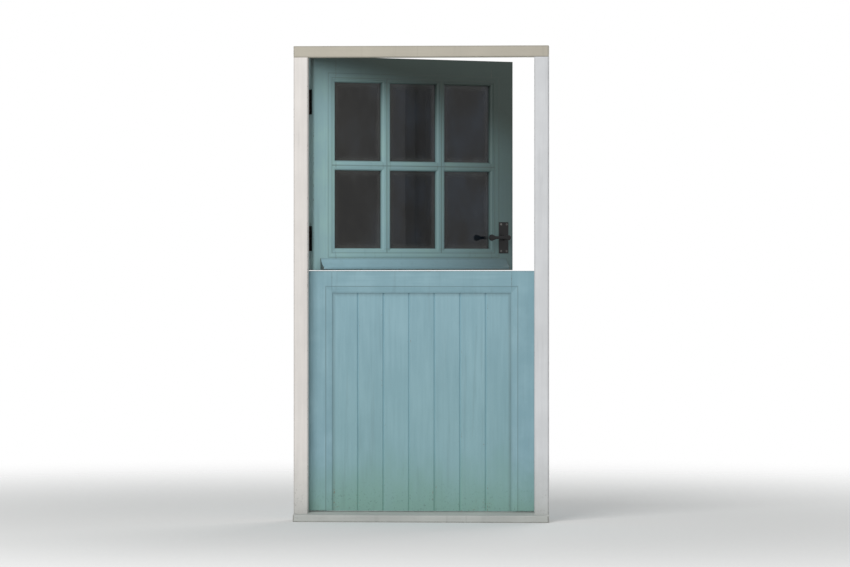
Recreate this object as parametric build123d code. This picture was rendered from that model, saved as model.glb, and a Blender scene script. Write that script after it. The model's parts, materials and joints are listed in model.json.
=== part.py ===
from build123d import *
import math
import os

# Timber stable door in its frame, hung on the left and opening inward.
# X runs to the lock side, Y into the room and Z up. The origin is under the sill, on the middle of the
# clear width, in line with the shoulder that the leaves shut against. Everything is drawn shut, and the
# upper leaf is then turned about its hinge pins to where it stands ajar.

# Frame
clear_width = 902.0  # between the stops
opening_height = 1813.0  # from the sill to the stop of the head
jamb_face = 57.0
head_face = 45.0
stop_width = 12.0  # how far the stop stands in front of the rebate
stop_depth = 47.0
sill_height = 36.0
sill_fall = 9.0
sill_nosing = 35.0  # how far the sill stands in front of the jambs
nosing_round = 5.0
frame_arris = 2.0  # chamfer on the front arrises of the frame
drip_radius = 4.0
drip_inset = 12.0
frame_tenon_thickness = 16.0
frame_tenon_inset = 10.0
head_tenon_length = 30.0
sill_tenon_length = 20.0
fixing_pitch = 700.0
fixing_lowest = 250.0
fixing_radius = 4.0

# Leaves
leaf_thickness = 44.0
stop_gap = 3.0
side_gap = 3.0
top_gap = 3.0
bottom_gap = 3.0
meeting_gap = 2.5
lower_leaf_height = 959.5
stile_width = 102.0
tenon_thickness = 12.0
tenon_length = 60.0
tenon_shoulder = 12.0
open_angle = 32.0
leaf_arris = 1.5  # chamfer round the edges of the leaves

# Upper leaf
upper_top_rail = 102.0
upper_bottom_rail = 88.0
bar_width = 38.0
bar_tenon_length = 10.0
bar_tenon_width = 8.0
bar_tenon_depth = 14.0
pane_columns = 3
pane_rows = 2
band_width = 30.0  # sunk band round the glazing
band_depth = 3.0
ovolo_width = 12.0
ovolo_quirk = 1.5
glass_thickness = 4.0
glass_setback = 22.0  # from the outer face of the leaf to the glass
glass_edge_gap = 2.0
rebate_width = 12.0
bead_depth = 14.0
bead_splay = 6.0
bead_gap = 0.3
weatherboard_height = 45.0
weatherboard_depth = 28.0
weatherboard_inset = 31.0  # from each edge of the leaf
weatherboard_lift = 3.0
weatherboard_nose = 10.0

# Lower leaf
lower_top_rail = 88.0
lower_bottom_rail = 150.0
ledge_thickness = 20.0
brace_width = 92.0
board_count = 7
board_thickness = 16.0
board_setback = 8.0
board_bevel = 4.0
board_tongue_thickness = 6.0
board_tongue = 6.0
board_edge_tongue = 10.0
groove_gap = 0.5
lower_band_width = 26.0
lower_band_depth = 5.0

# Butt hinges
hinge_height = 100.0
hinge_flap_width = 30.0
hinge_flap_thickness = 2.5
knuckle_radius = 6.0
knuckle_count = 5
knuckle_sides = 12
bore_sides = 8
knuckle_gap = 0.3
knuckle_clearance = 0.5  # between the faces of the door and the round of the knuckles
pin_radius = 3.0
pin_running_gap = 0.08
pin_head_radius = 4.6
pin_head_height = 2.5
hinge_rise_upper_top = 183.0  # from the top of the upper leaf down to the middle of the hinge
hinge_rise_upper_foot = 127.0  # from the foot of the upper leaf up
hinge_rise_lower_top = 150.0
hinge_rise_lower_foot = 200.0

# Screws
screw_radius = 2.0
screw_head_radius = 4.0
screw_length = 20.0
screw_sides = 6
screw_gap = 0.06

# Lever latch
spindle_backset = 44.0
spindle_rise = 133.0  # above the foot of the upper leaf
spindle_size = 8.0
spindle_gap = 0.05
spindle_grip = 22.0  # how deep the spindle sits in each lever
handle_plate_height = 128.0
handle_plate_width = 44.0
handle_plate_thickness = 3.0
handle_plate_chamfer = 1.2
handle_screw_inset = 9.0
lever_hub_radius = 11.0
lever_journal_radius = 9.0
lever_running_gap = 0.08
lever_clearance = 0.3
lever_stand_off = 34.0  # from the plate to the back of the arm
lever_thickness = 9.0
lever_reach = 92.0
lever_neck = 6.0
lever_tip_radius = 13.0
lever_chamfer = 1.6
lever_travel = 35.0
case_depth = 61.0
case_thickness = 14.0
case_below = 28.0
case_above = 38.0
case_wall = 1.5
forend_thickness = 3.0
forend_width = 22.0
forend_height = 124.0
forend_screw_inset = 9.0
latch_rise = 17.0  # bolt above the spindle
latch_height = 16.0
latch_thickness = 10.0
latch_throw = 10.0
latch_length = 30.0
latch_guide_gap = 0.3
latch_tip_flat = 2.0
tail_height = 12.0
tail_thickness = 6.0
tail_hook = 4.4
finger_width = 5.0
finger_reach = 18.0
finger_gap = 0.6
finger_room = 8.0
follower_radius = 9.0
follower_thickness = 9.0
spring_strip = 0.8
spring_width = 5.0
spring_drop = 24.0

# Strike plate
strike_height = 70.0
strike_width = 34.0
strike_thickness = 1.5
strike_clearance = 1.0
strike_pocket = 12.0
strike_screw_inset = 9.0

# Slide bolts
rod_width = 12.0
rod_thickness = 7.0
rod_running_gap = 0.15
rod_chamfer = 2.0
bolt_plate_thickness = 2.5
bolt_plate_width = 40.0
bolt_plate_chamfer = 1.0
strap_wall = 2.5
strap_length = 11.0
knob_radius = 6.0
knob_foot_radius = 3.2
knob_height = 14.0
knob_bevel = 1.5
bolt_screw_inset = 9.0
keep_gap = 0.4
lower_bolt_length = 150.0
lower_bolt_drop = 44.0  # below the top of the lower leaf
lower_bolt_travel = 28.0
lower_bolt_edge = 6.0  # from the end of its rod to the edge of the leaf
lower_keep_inset = 3.0
keep_plate_length = 34.0
joining_rod_width = 10.0
joining_rod_thickness = 6.0
joining_plate_width = 38.0
joining_bolt_clearance = 35.0  # between its plate and that of the lower bolt
joining_bolt_length = 68.0
joining_bolt_travel = 18.0
joining_strap_length = 8.0
joining_keep_height = 27.0

# Places worked out from the sizes above
frame_depth = stop_depth + stop_gap + leaf_thickness
front = -stop_depth
back = frame_depth - stop_depth
half_clear = clear_width / 2
half_rebate = half_clear + stop_width
half_frame = half_clear + jamb_face
half_leaf = half_rebate - side_gap
leaf_front = stop_gap
leaf_back = leaf_front + leaf_thickness
leaf_middle = leaf_front + leaf_thickness / 2
head_stop = sill_height + opening_height
head_rebate = head_stop + stop_width
frame_top = head_stop + head_face
lower_foot = sill_height + bottom_gap
lower_top = lower_foot + lower_leaf_height
upper_foot = lower_top + meeting_gap
upper_top = head_rebate - top_gap
half_infill = half_leaf - stile_width
hinge_x = -(half_leaf + half_rebate) / 2
hinge_y = leaf_back + knuckle_radius + knuckle_clearance
beyond = 20.0  # how far a cutting shape runs past what it cuts

hinges = {
    "upper_top": ("upper", upper_top - hinge_rise_upper_top),
    "upper_foot": ("upper", upper_foot + hinge_rise_upper_foot),
    "lower_top": ("lower", lower_top - hinge_rise_lower_top),
    "lower_foot": ("lower", lower_foot + hinge_rise_lower_foot),
}

nodes = {}
turning = set()
screws = {"frame_screws": [], "upper_leaf_screws": [], "lower_leaf_screws": []}


def add(name, shape, turns=False):
    """Keep a finished piece, and note if it turns with the upper leaf."""
    nodes[name] = shape
    if turns:
        turning.add(name)


def along_x(outline, start, end):
    """Carry an outline drawn in Y and Z along X."""
    return extrude(Plane.YZ.offset(start) * make_face(outline), amount=end - start, dir=(1, 0, 0))


def along_y(outline, start, end):
    """Carry an outline drawn in X and Z along Y."""
    return extrude(Plane.XZ.offset(-start) * make_face(outline), amount=end - start, dir=(0, 1, 0))


def along_z(outline, start, end):
    """Carry an outline drawn in X and Y upward."""
    return extrude(Plane.XY.offset(start) * make_face(outline), amount=end - start, dir=(0, 0, 1))


def ring(*points):
    """Closed outline through the points."""
    return Polyline(*points, close=True)


def oblong(a0, a1, b0, b1):
    """Closed rectangle between two corners."""
    return ring((a0, b0), (a1, b0), (a1, b1), (a0, b1))


def block(x0, x1, y0, y1, z0, z1):
    """Squared timber between two corners."""
    return along_z(oblong(x0, x1, y0, y1), z0, z1)


def eased(timber, across, side):
    """Squared timber with the arrises of its top and foot chamfered, and those of one upright side."""
    ends = timber.edges().filter_by(Axis.X).group_by(Axis.Z)
    arrises = {"top": ends[-1], "foot": ends[0], "both": ends[0] + ends[-1]}[across]
    if side:
        arrises += timber.edges().filter_by(Axis.Z).group_by(Axis.X)[-1 if side > 0 else 0]
    return chamfer(arrises, leaf_arris)


def rod_y(radius, x, z, start, end, bore=False):
    """Bar along Y, its round drawn with few sides that keep inside the radius, or outside it for a bore."""
    outline = RegularPolygon(radius, knuckle_sides, major_radius=not bore)
    return Plane((x, start, z), z_dir=(0, 1, 0)) * extrude(outline, amount=end - start)


def tapered_void(x0, x1, z0, z1, spread, y_wide, y_narrow):
    """Void with mitred sloping sides: wider by spread at y_wide, exact at y_narrow."""
    wide = Plane.XZ.offset(-y_wide) * make_face(oblong(x0 - spread, x1 + spread, z0 - spread, z1 + spread))
    narrow = Plane.XZ.offset(-y_narrow) * make_face(oblong(x0, x1, z0, z1))
    return loft([wide.face(), narrow.face()])


def screw_form(place, direction, gap=0.0):
    """Countersunk screw driven from a place along a direction, its head flush there.

    So many of them repeat that their round is drawn with few sides.
    """
    plane = Plane(place, z_dir=direction)
    head_height = screw_head_radius - screw_radius
    head_face = RegularPolygon(screw_head_radius + gap, screw_sides, major_radius=False)
    shank_face = RegularPolygon(screw_radius + gap, screw_sides, major_radius=False)
    form = extrude(head_face, amount=head_height, taper=45)
    form += Pos(0, 0, head_height) * extrude(shank_face, amount=screw_length - head_height + gap)
    return plane * form


def fasten(group, places, direction):
    """Add screws to a group and return the holes that they need."""
    screws[group] += [screw_form(place, direction) for place in places]
    return [screw_form(place, direction, screw_gap) for place in places]


# Frame: sill and head run the full width, and the jambs are tenoned into both

sill_outline = ring(
    (back, 0),
    (back, sill_height),
    (0, sill_height),
    (front - sill_nosing, sill_height - sill_fall),
    (front - sill_nosing, 0),
)
sill = along_x(sill_outline, -half_frame, half_frame)
sill = fillet(sill.edges().filter_by(Axis.X).sort_by(Axis.Y)[:2].sort_by(Axis.Z)[-1], nosing_round)
drip_y = front - sill_nosing + drip_inset
jamb_foot_cut = along_x(sill_outline, -half_frame - beyond, half_frame + beyond)
sill -= Plane((-half_frame - beyond, drip_y, 0), z_dir=(1, 0, 0)) * extrude(
    Circle(drip_radius), amount=2 * (half_frame + beyond)
)

head_outline = ring(
    (front, head_stop), (0, head_stop), (0, head_rebate), (back, head_rebate), (back, frame_top), (front, frame_top)
)
head = along_x(head_outline, -half_frame, half_frame)
head = chamfer(head.edges().filter_by(Axis.X).group_by(Axis.Y)[0], frame_arris)
jamb_head_cut = along_x(head_outline, -half_frame - beyond, half_frame + beyond)


def jamb(side):
    """Rebated post, scribed to the head and the sloping sill, with a stub tenon at each end."""
    section = ring(
        (side * half_frame, front),
        (side * half_clear, front),
        (side * half_clear, 0),
        (side * half_rebate, 0),
        (side * half_rebate, back),
        (side * half_frame, back),
    )
    post = along_z(section, 0, frame_top)
    post = chamfer(post.edges().filter_by(Axis.Z).group_by(Axis.Y)[0], frame_arris)
    post = post - jamb_head_cut - jamb_foot_cut
    post = post.solids().sort_by(Axis.Z)[-1] if len(post.solids()) > 1 else post
    near, far = sorted((side * (half_clear + frame_tenon_inset), side * (half_frame - frame_tenon_inset)))
    tenon_y = -frame_tenon_thickness
    foot = sill_height - sill_tenon_length
    crown = head_stop + head_tenon_length
    tenons = block(near, far, tenon_y, 0, foot, crown)
    tenons = tenons - block(near, far, tenon_y, 0, sill_height, head_stop)
    return post + tenons, tenons


jambs = {"hinge": jamb(-1), "lock": jamb(1)}
for post, tenons in jambs.values():
    sill -= tenons
    head -= tenons

fixing_heights = [fixing_lowest + k * fixing_pitch for k in range(3)]
jamb_bodies = {}
for name, side in (("hinge", -1), ("lock", 1)):
    post = jambs[name][0]
    for height in fixing_heights:
        mouth = Plane((side * half_clear, front / 2, height), z_dir=(side, 0, 0))
        post -= mouth * extrude(Circle(fixing_radius), amount=jamb_face)
    jamb_bodies[name] = post

# Upper leaf

glass_front = leaf_front + glass_setback
glass_back = glass_front + glass_thickness
band_floor = leaf_front + band_depth
ovolo_back = band_floor + ovolo_width
glazed_foot = upper_foot + upper_bottom_rail
glazed_top = upper_top - upper_top_rail
pane_width = (2 * half_infill - (pane_columns - 1) * bar_width) / pane_columns
pane_height = (glazed_top - glazed_foot - (pane_rows - 1) * bar_width) / pane_rows
panes = []
for row in range(pane_rows):
    for column in range(pane_columns):
        pane_x = -half_infill + column * (pane_width + bar_width)
        pane_z = glazed_foot + row * (pane_height + bar_width)
        panes.append((pane_x, pane_x + pane_width, pane_z, pane_z + pane_height))


def ovolo_outline(low, high, swap):
    """Width of a pane against depth, widening in a quirk and a quarter round towards the outside."""
    round_size = ovolo_width - ovolo_quirk
    quirk = ovolo_back - round_size
    half_way = round_size * (1 - math.cos(math.pi / 4))

    def point(along, depth):
        return (depth, along) if swap else (along, depth)

    outer = leaf_front - beyond
    inner = leaf_back + beyond
    return Curve() + [
        Line(point(low, inner), point(low, ovolo_back)),
        ThreePointArc(
            point(low, ovolo_back), point(low - half_way, quirk + half_way), point(low - round_size, quirk)
        ),
        Polyline(
            point(low - round_size, quirk),
            point(low - ovolo_width, quirk),
            point(low - ovolo_width, outer),
            point(high + ovolo_width, outer),
            point(high + ovolo_width, quirk),
            point(high + round_size, quirk),
        ),
        ThreePointArc(
            point(high + round_size, quirk), point(high + half_way, quirk + half_way), point(high, ovolo_back)
        ),
        Line(point(high, ovolo_back), point(high, inner)),
        Line(point(high, inner), point(low, inner)),
    ]


def pane_void(x0, x1, z0, z1):
    """Moulded opening of one pane with its glazing rebate behind."""
    across = along_x(ovolo_outline(z0, z1, True), x0 - beyond, x1 + beyond)
    upright = along_z(ovolo_outline(x0, x1, False), z0 - beyond, z1 + beyond)
    rebate = block(
        x0 - rebate_width, x1 + rebate_width, glass_front, leaf_back + beyond, z0 - rebate_width, z1 + rebate_width
    )
    return (across & upright) + rebate


pane_voids = [pane_void(*pane) for pane in panes]
band_void = tapered_void(
    -half_infill - ovolo_width,
    half_infill + ovolo_width,
    glazed_foot - ovolo_width,
    glazed_top + ovolo_width,
    band_width - ovolo_width,
    leaf_front,
    band_floor,
)


def tenon(x_shoulder, direction, z0, z1, y_middle):
    """Stub tenon on the end of a rail."""
    x0, x1 = sorted((x_shoulder, x_shoulder + direction * tenon_length))
    y0 = y_middle - tenon_thickness / 2
    return block(x0, x1, y0, y0 + tenon_thickness, z0, z1)


def rail_tenons(z0, z1, y_middle):
    """Pair of stub tenons for a rail between the stiles."""
    return [tenon(-half_infill, -1, z0, z1, y_middle), tenon(half_infill, 1, z0, z1, y_middle)]


def glazing_cut(timber):
    """Work the sunk band, the ovolo and the glazing rebate in a timber."""
    timber -= band_void
    for void in pane_voids:
        timber -= void
    return timber


upper_tenons = {
    "top": rail_tenons(
        glazed_top + rebate_width + groove_gap, upper_top - tenon_shoulder, leaf_middle
    ),
    "bottom": rail_tenons(
        upper_foot + tenon_shoulder, glazed_foot - rebate_width - groove_gap, leaf_middle
    ),
}
upper_rails = {
    "top": block(-half_infill, half_infill, leaf_front, leaf_back, glazed_top, upper_top),
    "bottom": block(-half_infill, half_infill, leaf_front, leaf_back, upper_foot, glazed_foot),
}
upper_rails["top"] = glazing_cut(eased(upper_rails["top"], "top", 0))
upper_rails["bottom"] = glazing_cut(eased(upper_rails["bottom"], "foot", 0))

upright_bars = []
for column in range(1, pane_columns):
    bar_x = -half_infill + column * (pane_width + bar_width) - bar_width
    bar = glazing_cut(block(bar_x, bar_x + bar_width, band_floor, leaf_back, glazed_foot, glazed_top))
    web_x = bar_x + bar_width / 2
    stub = block(
        web_x - bar_tenon_width / 2,
        web_x + bar_tenon_width / 2,
        ovolo_back,
        ovolo_back + bar_tenon_depth,
        glazed_foot - bar_tenon_length,
        glazed_top + bar_tenon_length,
    )
    upper_rails["top"] -= stub
    upper_rails["bottom"] -= stub
    upright_bars.append(bar + stub)

cross_bars = []
for row in range(1, pane_rows):
    bar_z = glazed_foot + row * (pane_height + bar_width) - bar_width
    for column in range(pane_columns):
        pane_x = -half_infill + column * (pane_width + bar_width)
        cross_bars.append(
            glazing_cut(block(pane_x, pane_x + pane_width, band_floor, leaf_back, bar_z, bar_z + bar_width))
        )

upper_stiles = {}
for name, side in (("hinge", -1), ("lock", 1)):
    x0, x1 = sorted((side * half_infill, side * half_leaf))
    stile = glazing_cut(eased(block(x0, x1, leaf_front, leaf_back, upper_foot, upper_top), "both", side))
    end = 0 if side < 0 else 1
    stile = stile - upper_tenons["top"][end] - upper_tenons["bottom"][end]
    upper_stiles[name] = stile

for name in upper_rails:
    for piece in upper_tenons[name]:
        upper_rails[name] += piece


def mitred_beads(x0, x1, z0, z1):
    """Four splayed glazing beads that meet in mitres behind the glass."""
    wide = rebate_width - bead_gap
    y0 = glass_back
    y1 = glass_back + bead_depth
    left, right, foot, top = x0 - wide, x1 + wide, z0 - wide, z1 + wide
    outlines = (
        ring((left, foot), (x0, z0), (x0, z1), (left, top)),
        ring((right, foot), (right, top), (x1, z1), (x1, z0)),
        ring((left, foot), (right, foot), (x1, z0), (x0, z0)),
        ring((left, top), (x0, z1), (x1, z1), (right, top)),
    )
    splay = tapered_void(x0, x1, z0, z1, bead_splay, y1, y0 + bead_depth / 2)
    return [along_y(outline, y0, y1) - splay for outline in outlines]


for number, (x0, x1, z0, z1) in enumerate(panes, 1):
    reach = rebate_width - glass_edge_gap
    glass = block(x0 - reach, x1 + reach, glass_front, glass_back, z0 - reach, z1 + reach)
    add(f"pane_{number}", glass, turns=True)
add("glazing_beads", Compound(children=[b for pane in panes for b in mitred_beads(*pane)]), turns=True)

weather_x = half_leaf - weatherboard_inset
weather_foot = upper_foot + weatherboard_lift
weather_top = weather_foot + weatherboard_height
weather_front = leaf_front - weatherboard_depth
weather_outline = Curve() + [
    Line((leaf_front, weather_foot), (leaf_front, weather_top)),
    Line((leaf_front, weather_top), (leaf_front - ovolo_quirk, weather_top)),
    ThreePointArc(
        (leaf_front - ovolo_quirk, weather_top),
        (
            leaf_front - weatherboard_depth * 0.42,
            weather_foot + weatherboard_nose + (weatherboard_height - weatherboard_nose) * 0.46,
        ),
        (weather_front + ovolo_quirk, weather_foot + weatherboard_nose + ovolo_quirk),
    ),
    Line(
        (weather_front + ovolo_quirk, weather_foot + weatherboard_nose + ovolo_quirk),
        (weather_front, weather_foot + weatherboard_nose),
    ),
    Line((weather_front, weather_foot + weatherboard_nose), (weather_front, weather_foot + ovolo_quirk)),
    Line((weather_front, weather_foot + ovolo_quirk), (weather_front + ovolo_quirk, weather_foot)),
    Line((weather_front + ovolo_quirk, weather_foot), (leaf_front, weather_foot)),
]
weatherboard = along_x(weather_outline, -weather_x, weather_x)
weatherboard -= Plane((-half_leaf, weather_front + drip_inset, weather_foot), z_dir=(1, 0, 0)) * extrude(
    Circle(drip_radius * 0.75), amount=2 * half_leaf
)

# Lower leaf

infill_top = lower_top - lower_top_rail
board_front = leaf_front + board_setback
board_back = board_front + board_thickness
board_middle = (board_front + board_back) / 2
tongue_front = board_middle - board_tongue_thickness / 2
tongue_back = board_middle + board_tongue_thickness / 2
groove_depth = board_edge_tongue + groove_gap

lower_band_void = tapered_void(
    -half_infill,
    half_infill,
    lower_foot - 2 * lower_band_width,
    infill_top,
    lower_band_width,
    leaf_front,
    leaf_front + lower_band_depth,
)
edge_groove = block(
    -half_infill - groove_depth,
    half_infill + groove_depth,
    tongue_front,
    tongue_back,
    lower_foot - beyond,
    infill_top + groove_depth,
)
ledge_middle = leaf_back - ledge_thickness / 2
ledge_top = lower_foot + lower_bottom_rail
lower_tenons = {
    "top": rail_tenons(infill_top + tenon_shoulder, lower_top - tenon_shoulder, leaf_middle),
    "bottom": rail_tenons(lower_foot + tenon_shoulder, ledge_top - tenon_shoulder, ledge_middle),
}
lower_rails = {
    "top": eased(block(-half_infill, half_infill, leaf_front, leaf_back, infill_top, lower_top), "top", 0)
    - lower_band_void
    - edge_groove,
    "bottom": block(-half_infill, half_infill, leaf_back - ledge_thickness, leaf_back, lower_foot, ledge_top),
}
for name in lower_rails:
    for piece in lower_tenons[name]:
        lower_rails[name] += piece

lower_stiles = {}
for name, side in (("hinge", -1), ("lock", 1)):
    x0, x1 = sorted((side * half_infill, side * half_leaf))
    stile = eased(block(x0, x1, leaf_front, leaf_back, lower_foot, lower_top), "both", side)
    stile = stile - lower_band_void - edge_groove
    end = 0 if side < 0 else 1
    stile = stile - lower_tenons["top"][end] - lower_tenons["bottom"][end]
    lower_stiles[name] = stile

brace_run = 2 * half_infill
brace_climb = infill_top - ledge_top
brace_length = math.hypot(brace_run, brace_climb)
brace_rise_half = brace_width / 2 * brace_length / brace_run  # half its width measured upright
brace_outline = ring(
    (-half_infill, ledge_top - brace_rise_half),
    (half_infill, infill_top - brace_rise_half),
    (half_infill, infill_top + brace_rise_half),
    (-half_infill, ledge_top + brace_rise_half),
)
brace = along_y(brace_outline, board_back, leaf_back) & block(
    -half_infill, half_infill, board_back, leaf_back, ledge_top, infill_top
)
add("diagonal_brace", brace)

board_width = 2 * half_infill / board_count


def board(number):
    """Tongued and grooved board with a bevel down both long edges of its face."""
    x0 = -half_infill + number * board_width
    x1 = x0 + board_width
    first = number == 0
    last = number == board_count - 1
    bevel_left = 0 if first else board_bevel
    bevel_right = 0 if last else board_bevel
    face = [(x0, board_front + bevel_left), (x0 + bevel_left, board_front)]
    face += [(x1 - bevel_right, board_front), (x1, board_front + bevel_right)]
    if first:
        face = face[1:]
    if last:
        face = face[:-1]
    tongue_end = x1 + (board_edge_tongue if last else board_tongue)
    tongue = [(x1, tongue_front), (tongue_end, tongue_front), (tongue_end, tongue_back), (x1, tongue_back)]
    if first:
        left = [
            (x0, tongue_back),
            (x0 - board_edge_tongue, tongue_back),
            (x0 - board_edge_tongue, tongue_front),
            (x0, tongue_front),
        ]
    else:
        groove_end = x0 + board_tongue + groove_gap
        left = [(x0, tongue_back), (groove_end, tongue_back), (groove_end, tongue_front), (x0, tongue_front)]
    outline = face + tongue + [(x1, board_back), (x0, board_back)] + left
    plank = along_z(ring(*outline), lower_foot, infill_top + board_edge_tongue)
    crown_x0 = x0 - beyond
    crown_x1 = x1 + beyond
    crown_z = infill_top + board_edge_tongue + beyond
    plank -= block(crown_x0, crown_x1, board_front - beyond, tongue_front, infill_top, crown_z)
    plank -= block(crown_x0, crown_x1, tongue_back, board_back + beyond, infill_top, crown_z)
    return plank


for number in range(board_count):
    add(f"board_{number + 1}", board(number))

# Butt hinges: the frame flap carries the odd knuckles, the leaf flap the even ones

knuckle_height = hinge_height / knuckle_count
pin_bore = pin_radius + pin_running_gap


def knuckle_spans(middle, for_frame):
    """Heights of the knuckles that belong to one flap."""
    spans = []
    for k in range(knuckle_count):
        if (k % 2 == 0) == for_frame:
            low = middle - hinge_height / 2 + k * knuckle_height
            spans.append((low, low + knuckle_height))
    return spans


def hinge_flap(middle, for_frame):
    """Flap let in flush, rolled round the pin at its own knuckles, whose round has few sides."""
    if for_frame:
        x0, x1 = -half_rebate - hinge_flap_thickness, -half_rebate
    else:
        x0, x1 = -half_leaf, -half_leaf + hinge_flap_thickness
    low = middle - hinge_height / 2
    flap = block(x0, x1, leaf_back - hinge_flap_width, hinge_y, low, low + hinge_height)
    clear_y = hinge_y - knuckle_radius - knuckle_gap
    for z0, z1 in knuckle_spans(middle, not for_frame):
        flap -= block(x0, x1, clear_y, hinge_y + beyond, z0 - knuckle_gap / 2, z1 + knuckle_gap / 2)
    for z0, z1 in knuckle_spans(middle, for_frame):
        tube = extrude(RegularPolygon(knuckle_radius, knuckle_sides), amount=z1 - z0 - knuckle_gap)
        flap += Pos(hinge_x, hinge_y, z0 + knuckle_gap / 2) * tube
    bore = RegularPolygon(pin_bore, bore_sides, major_radius=False)
    return flap - Pos(hinge_x, hinge_y, low - beyond) * extrude(bore, amount=hinge_height + 2 * beyond)


def flap_screw_places(x, middle):
    """Three screws in a zigzag down a flap."""
    near = leaf_back - hinge_flap_width * 0.3
    deep = leaf_back - hinge_flap_width * 0.68
    step = hinge_height * 0.34
    return [(x, near, middle - step), (x, deep, middle), (x, near, middle + step)]


pins = []
for name, (leaf, middle) in hinges.items():
    low = middle - hinge_height / 2
    frame_flap = hinge_flap(middle, True)
    leaf_flap = hinge_flap(middle, False)
    housing_depth = hinge_flap_width
    frame_housing = block(
        -half_rebate - hinge_flap_thickness, -half_rebate, back - housing_depth, back, low, low + hinge_height
    )
    leaf_housing = block(
        -half_leaf, -half_leaf + hinge_flap_thickness, leaf_back - housing_depth, leaf_back, low, low + hinge_height
    )
    frame_holes = fasten("frame_screws", flap_screw_places(-half_rebate, middle), (-1, 0, 0))
    leaf_holes = fasten(f"{leaf}_leaf_screws", flap_screw_places(-half_leaf, middle), (1, 0, 0))
    jamb_bodies["hinge"] -= frame_housing
    stiles = upper_stiles if leaf == "upper" else lower_stiles
    stiles["hinge"] -= leaf_housing
    for hole in frame_holes:
        frame_flap -= hole
        jamb_bodies["hinge"] -= hole
    for hole in leaf_holes:
        leaf_flap -= hole
        stiles["hinge"] -= hole
    add(f"{name}_hinge_frame_flap", frame_flap)
    add(f"{name}_hinge_leaf_flap", leaf_flap, turns=leaf == "upper")
    pin = extrude(RegularPolygon(pin_radius, knuckle_sides), amount=hinge_height)
    button = RegularPolygon(pin_head_radius, knuckle_sides)
    cap = Pos(0, 0, hinge_height) * extrude(button, amount=pin_head_height, taper=20)
    pins.append(Pos(hinge_x, hinge_y, low) * (pin + cap))
add("hinge_pins", Compound(children=pins))

# Lever latch, drawn shut: the levers point to the hinge side

spindle_x = half_leaf - spindle_backset
spindle_z = upper_foot + spindle_rise
case_front = half_leaf - forend_thickness
case_rear = case_front - case_depth
case_y0 = leaf_middle - case_thickness / 2
case_y1 = leaf_middle + case_thickness / 2
case_z0 = spindle_z - case_below
case_z1 = spindle_z + case_above
latch_z = spindle_z + latch_rise
latch_z0 = latch_z - latch_height / 2
latch_z1 = latch_z + latch_height / 2
latch_y0 = leaf_middle - latch_thickness / 2
latch_y1 = leaf_middle + latch_thickness / 2
latch_tip = half_leaf + latch_throw
latch_shoulder = latch_tip - latch_length
guide = block(
    case_front - beyond,
    latch_tip + beyond,
    latch_y0 - latch_guide_gap,
    latch_y1 + latch_guide_gap,
    latch_z0 - latch_guide_gap,
    latch_z1 + latch_guide_gap,
)

latch_case = block(case_rear, case_front, case_y0, case_y1, case_z0, case_z1)
case_pocket = latch_case
latch_case -= block(
    case_rear + case_wall,
    case_front - case_wall,
    case_y0 + case_wall,
    case_y1 - case_wall,
    case_z0 + case_wall,
    case_z1 - case_wall,
)
bearing_radius = follower_radius + lever_running_gap
latch_case -= rod_y(bearing_radius, spindle_x, spindle_z, case_y0 - beyond, case_y1 + beyond, bore=True)
latch_case -= guide

forend_middle = (case_z0 + case_z1) / 2
forend_z0 = forend_middle - forend_height / 2
forend_z1 = forend_middle + forend_height / 2
forend = block(
    case_front, half_leaf, leaf_middle - forend_width / 2, leaf_middle + forend_width / 2, forend_z0, forend_z1
)
forend_pocket = forend
forend -= guide
forend_holes = fasten(
    "upper_leaf_screws",
    [(half_leaf, leaf_middle, forend_z0 + forend_screw_inset), (half_leaf, leaf_middle, forend_z1 - forend_screw_inset)],
    (-1, 0, 0),
)
lock_stile = upper_stiles["lock"] - case_pocket - forend_pocket
lock_stile -= rod_y(follower_radius + lever_clearance, spindle_x, spindle_z, leaf_front - 1, leaf_back + 1, bore=True)
for hole in forend_holes:
    forend -= hole
    lock_stile -= hole

latch_bolt_outline = ring(
    (latch_shoulder, latch_y0),
    (half_leaf + 1, latch_y0),
    (latch_tip, latch_y1 - latch_tip_flat),
    (latch_tip, latch_y1),
    (latch_shoulder, latch_y1),
)
latch_bolt = along_z(latch_bolt_outline, latch_z0, latch_z1)
finger_face = spindle_x - finger_width / 2
hook_face = finger_face - finger_gap
tail_y0 = leaf_middle - tail_thickness / 2
tail_z0 = latch_z - tail_height / 2
finger_top = spindle_z + finger_reach
tail_outline = ring(
    (latch_shoulder, tail_z0),
    (latch_shoulder, tail_z0 + tail_height),
    (hook_face - tail_hook, tail_z0 + tail_height),
    (hook_face - tail_hook, tail_z0),
    (hook_face, tail_z0),
    (hook_face, finger_top + 1),
    (spindle_x + finger_room, finger_top + 1),
    (spindle_x + finger_room, tail_z0),
)
latch_bolt += along_y(tail_outline, tail_y0, tail_y0 + tail_thickness)

spindle_hole = block(
    spindle_x - spindle_size / 2 - spindle_gap,
    spindle_x + spindle_size / 2 + spindle_gap,
    leaf_front - 100,
    leaf_back + 100,
    spindle_z - spindle_size / 2 - spindle_gap,
    spindle_z + spindle_size / 2 + spindle_gap,
)
follower = rod_y(follower_radius, spindle_x, spindle_z, case_y0, case_y1)
follower += block(
    finger_face,
    finger_face + finger_width,
    leaf_middle - follower_thickness / 2,
    leaf_middle + follower_thickness / 2,
    spindle_z,
    finger_top,
)
follower -= spindle_hole

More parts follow.
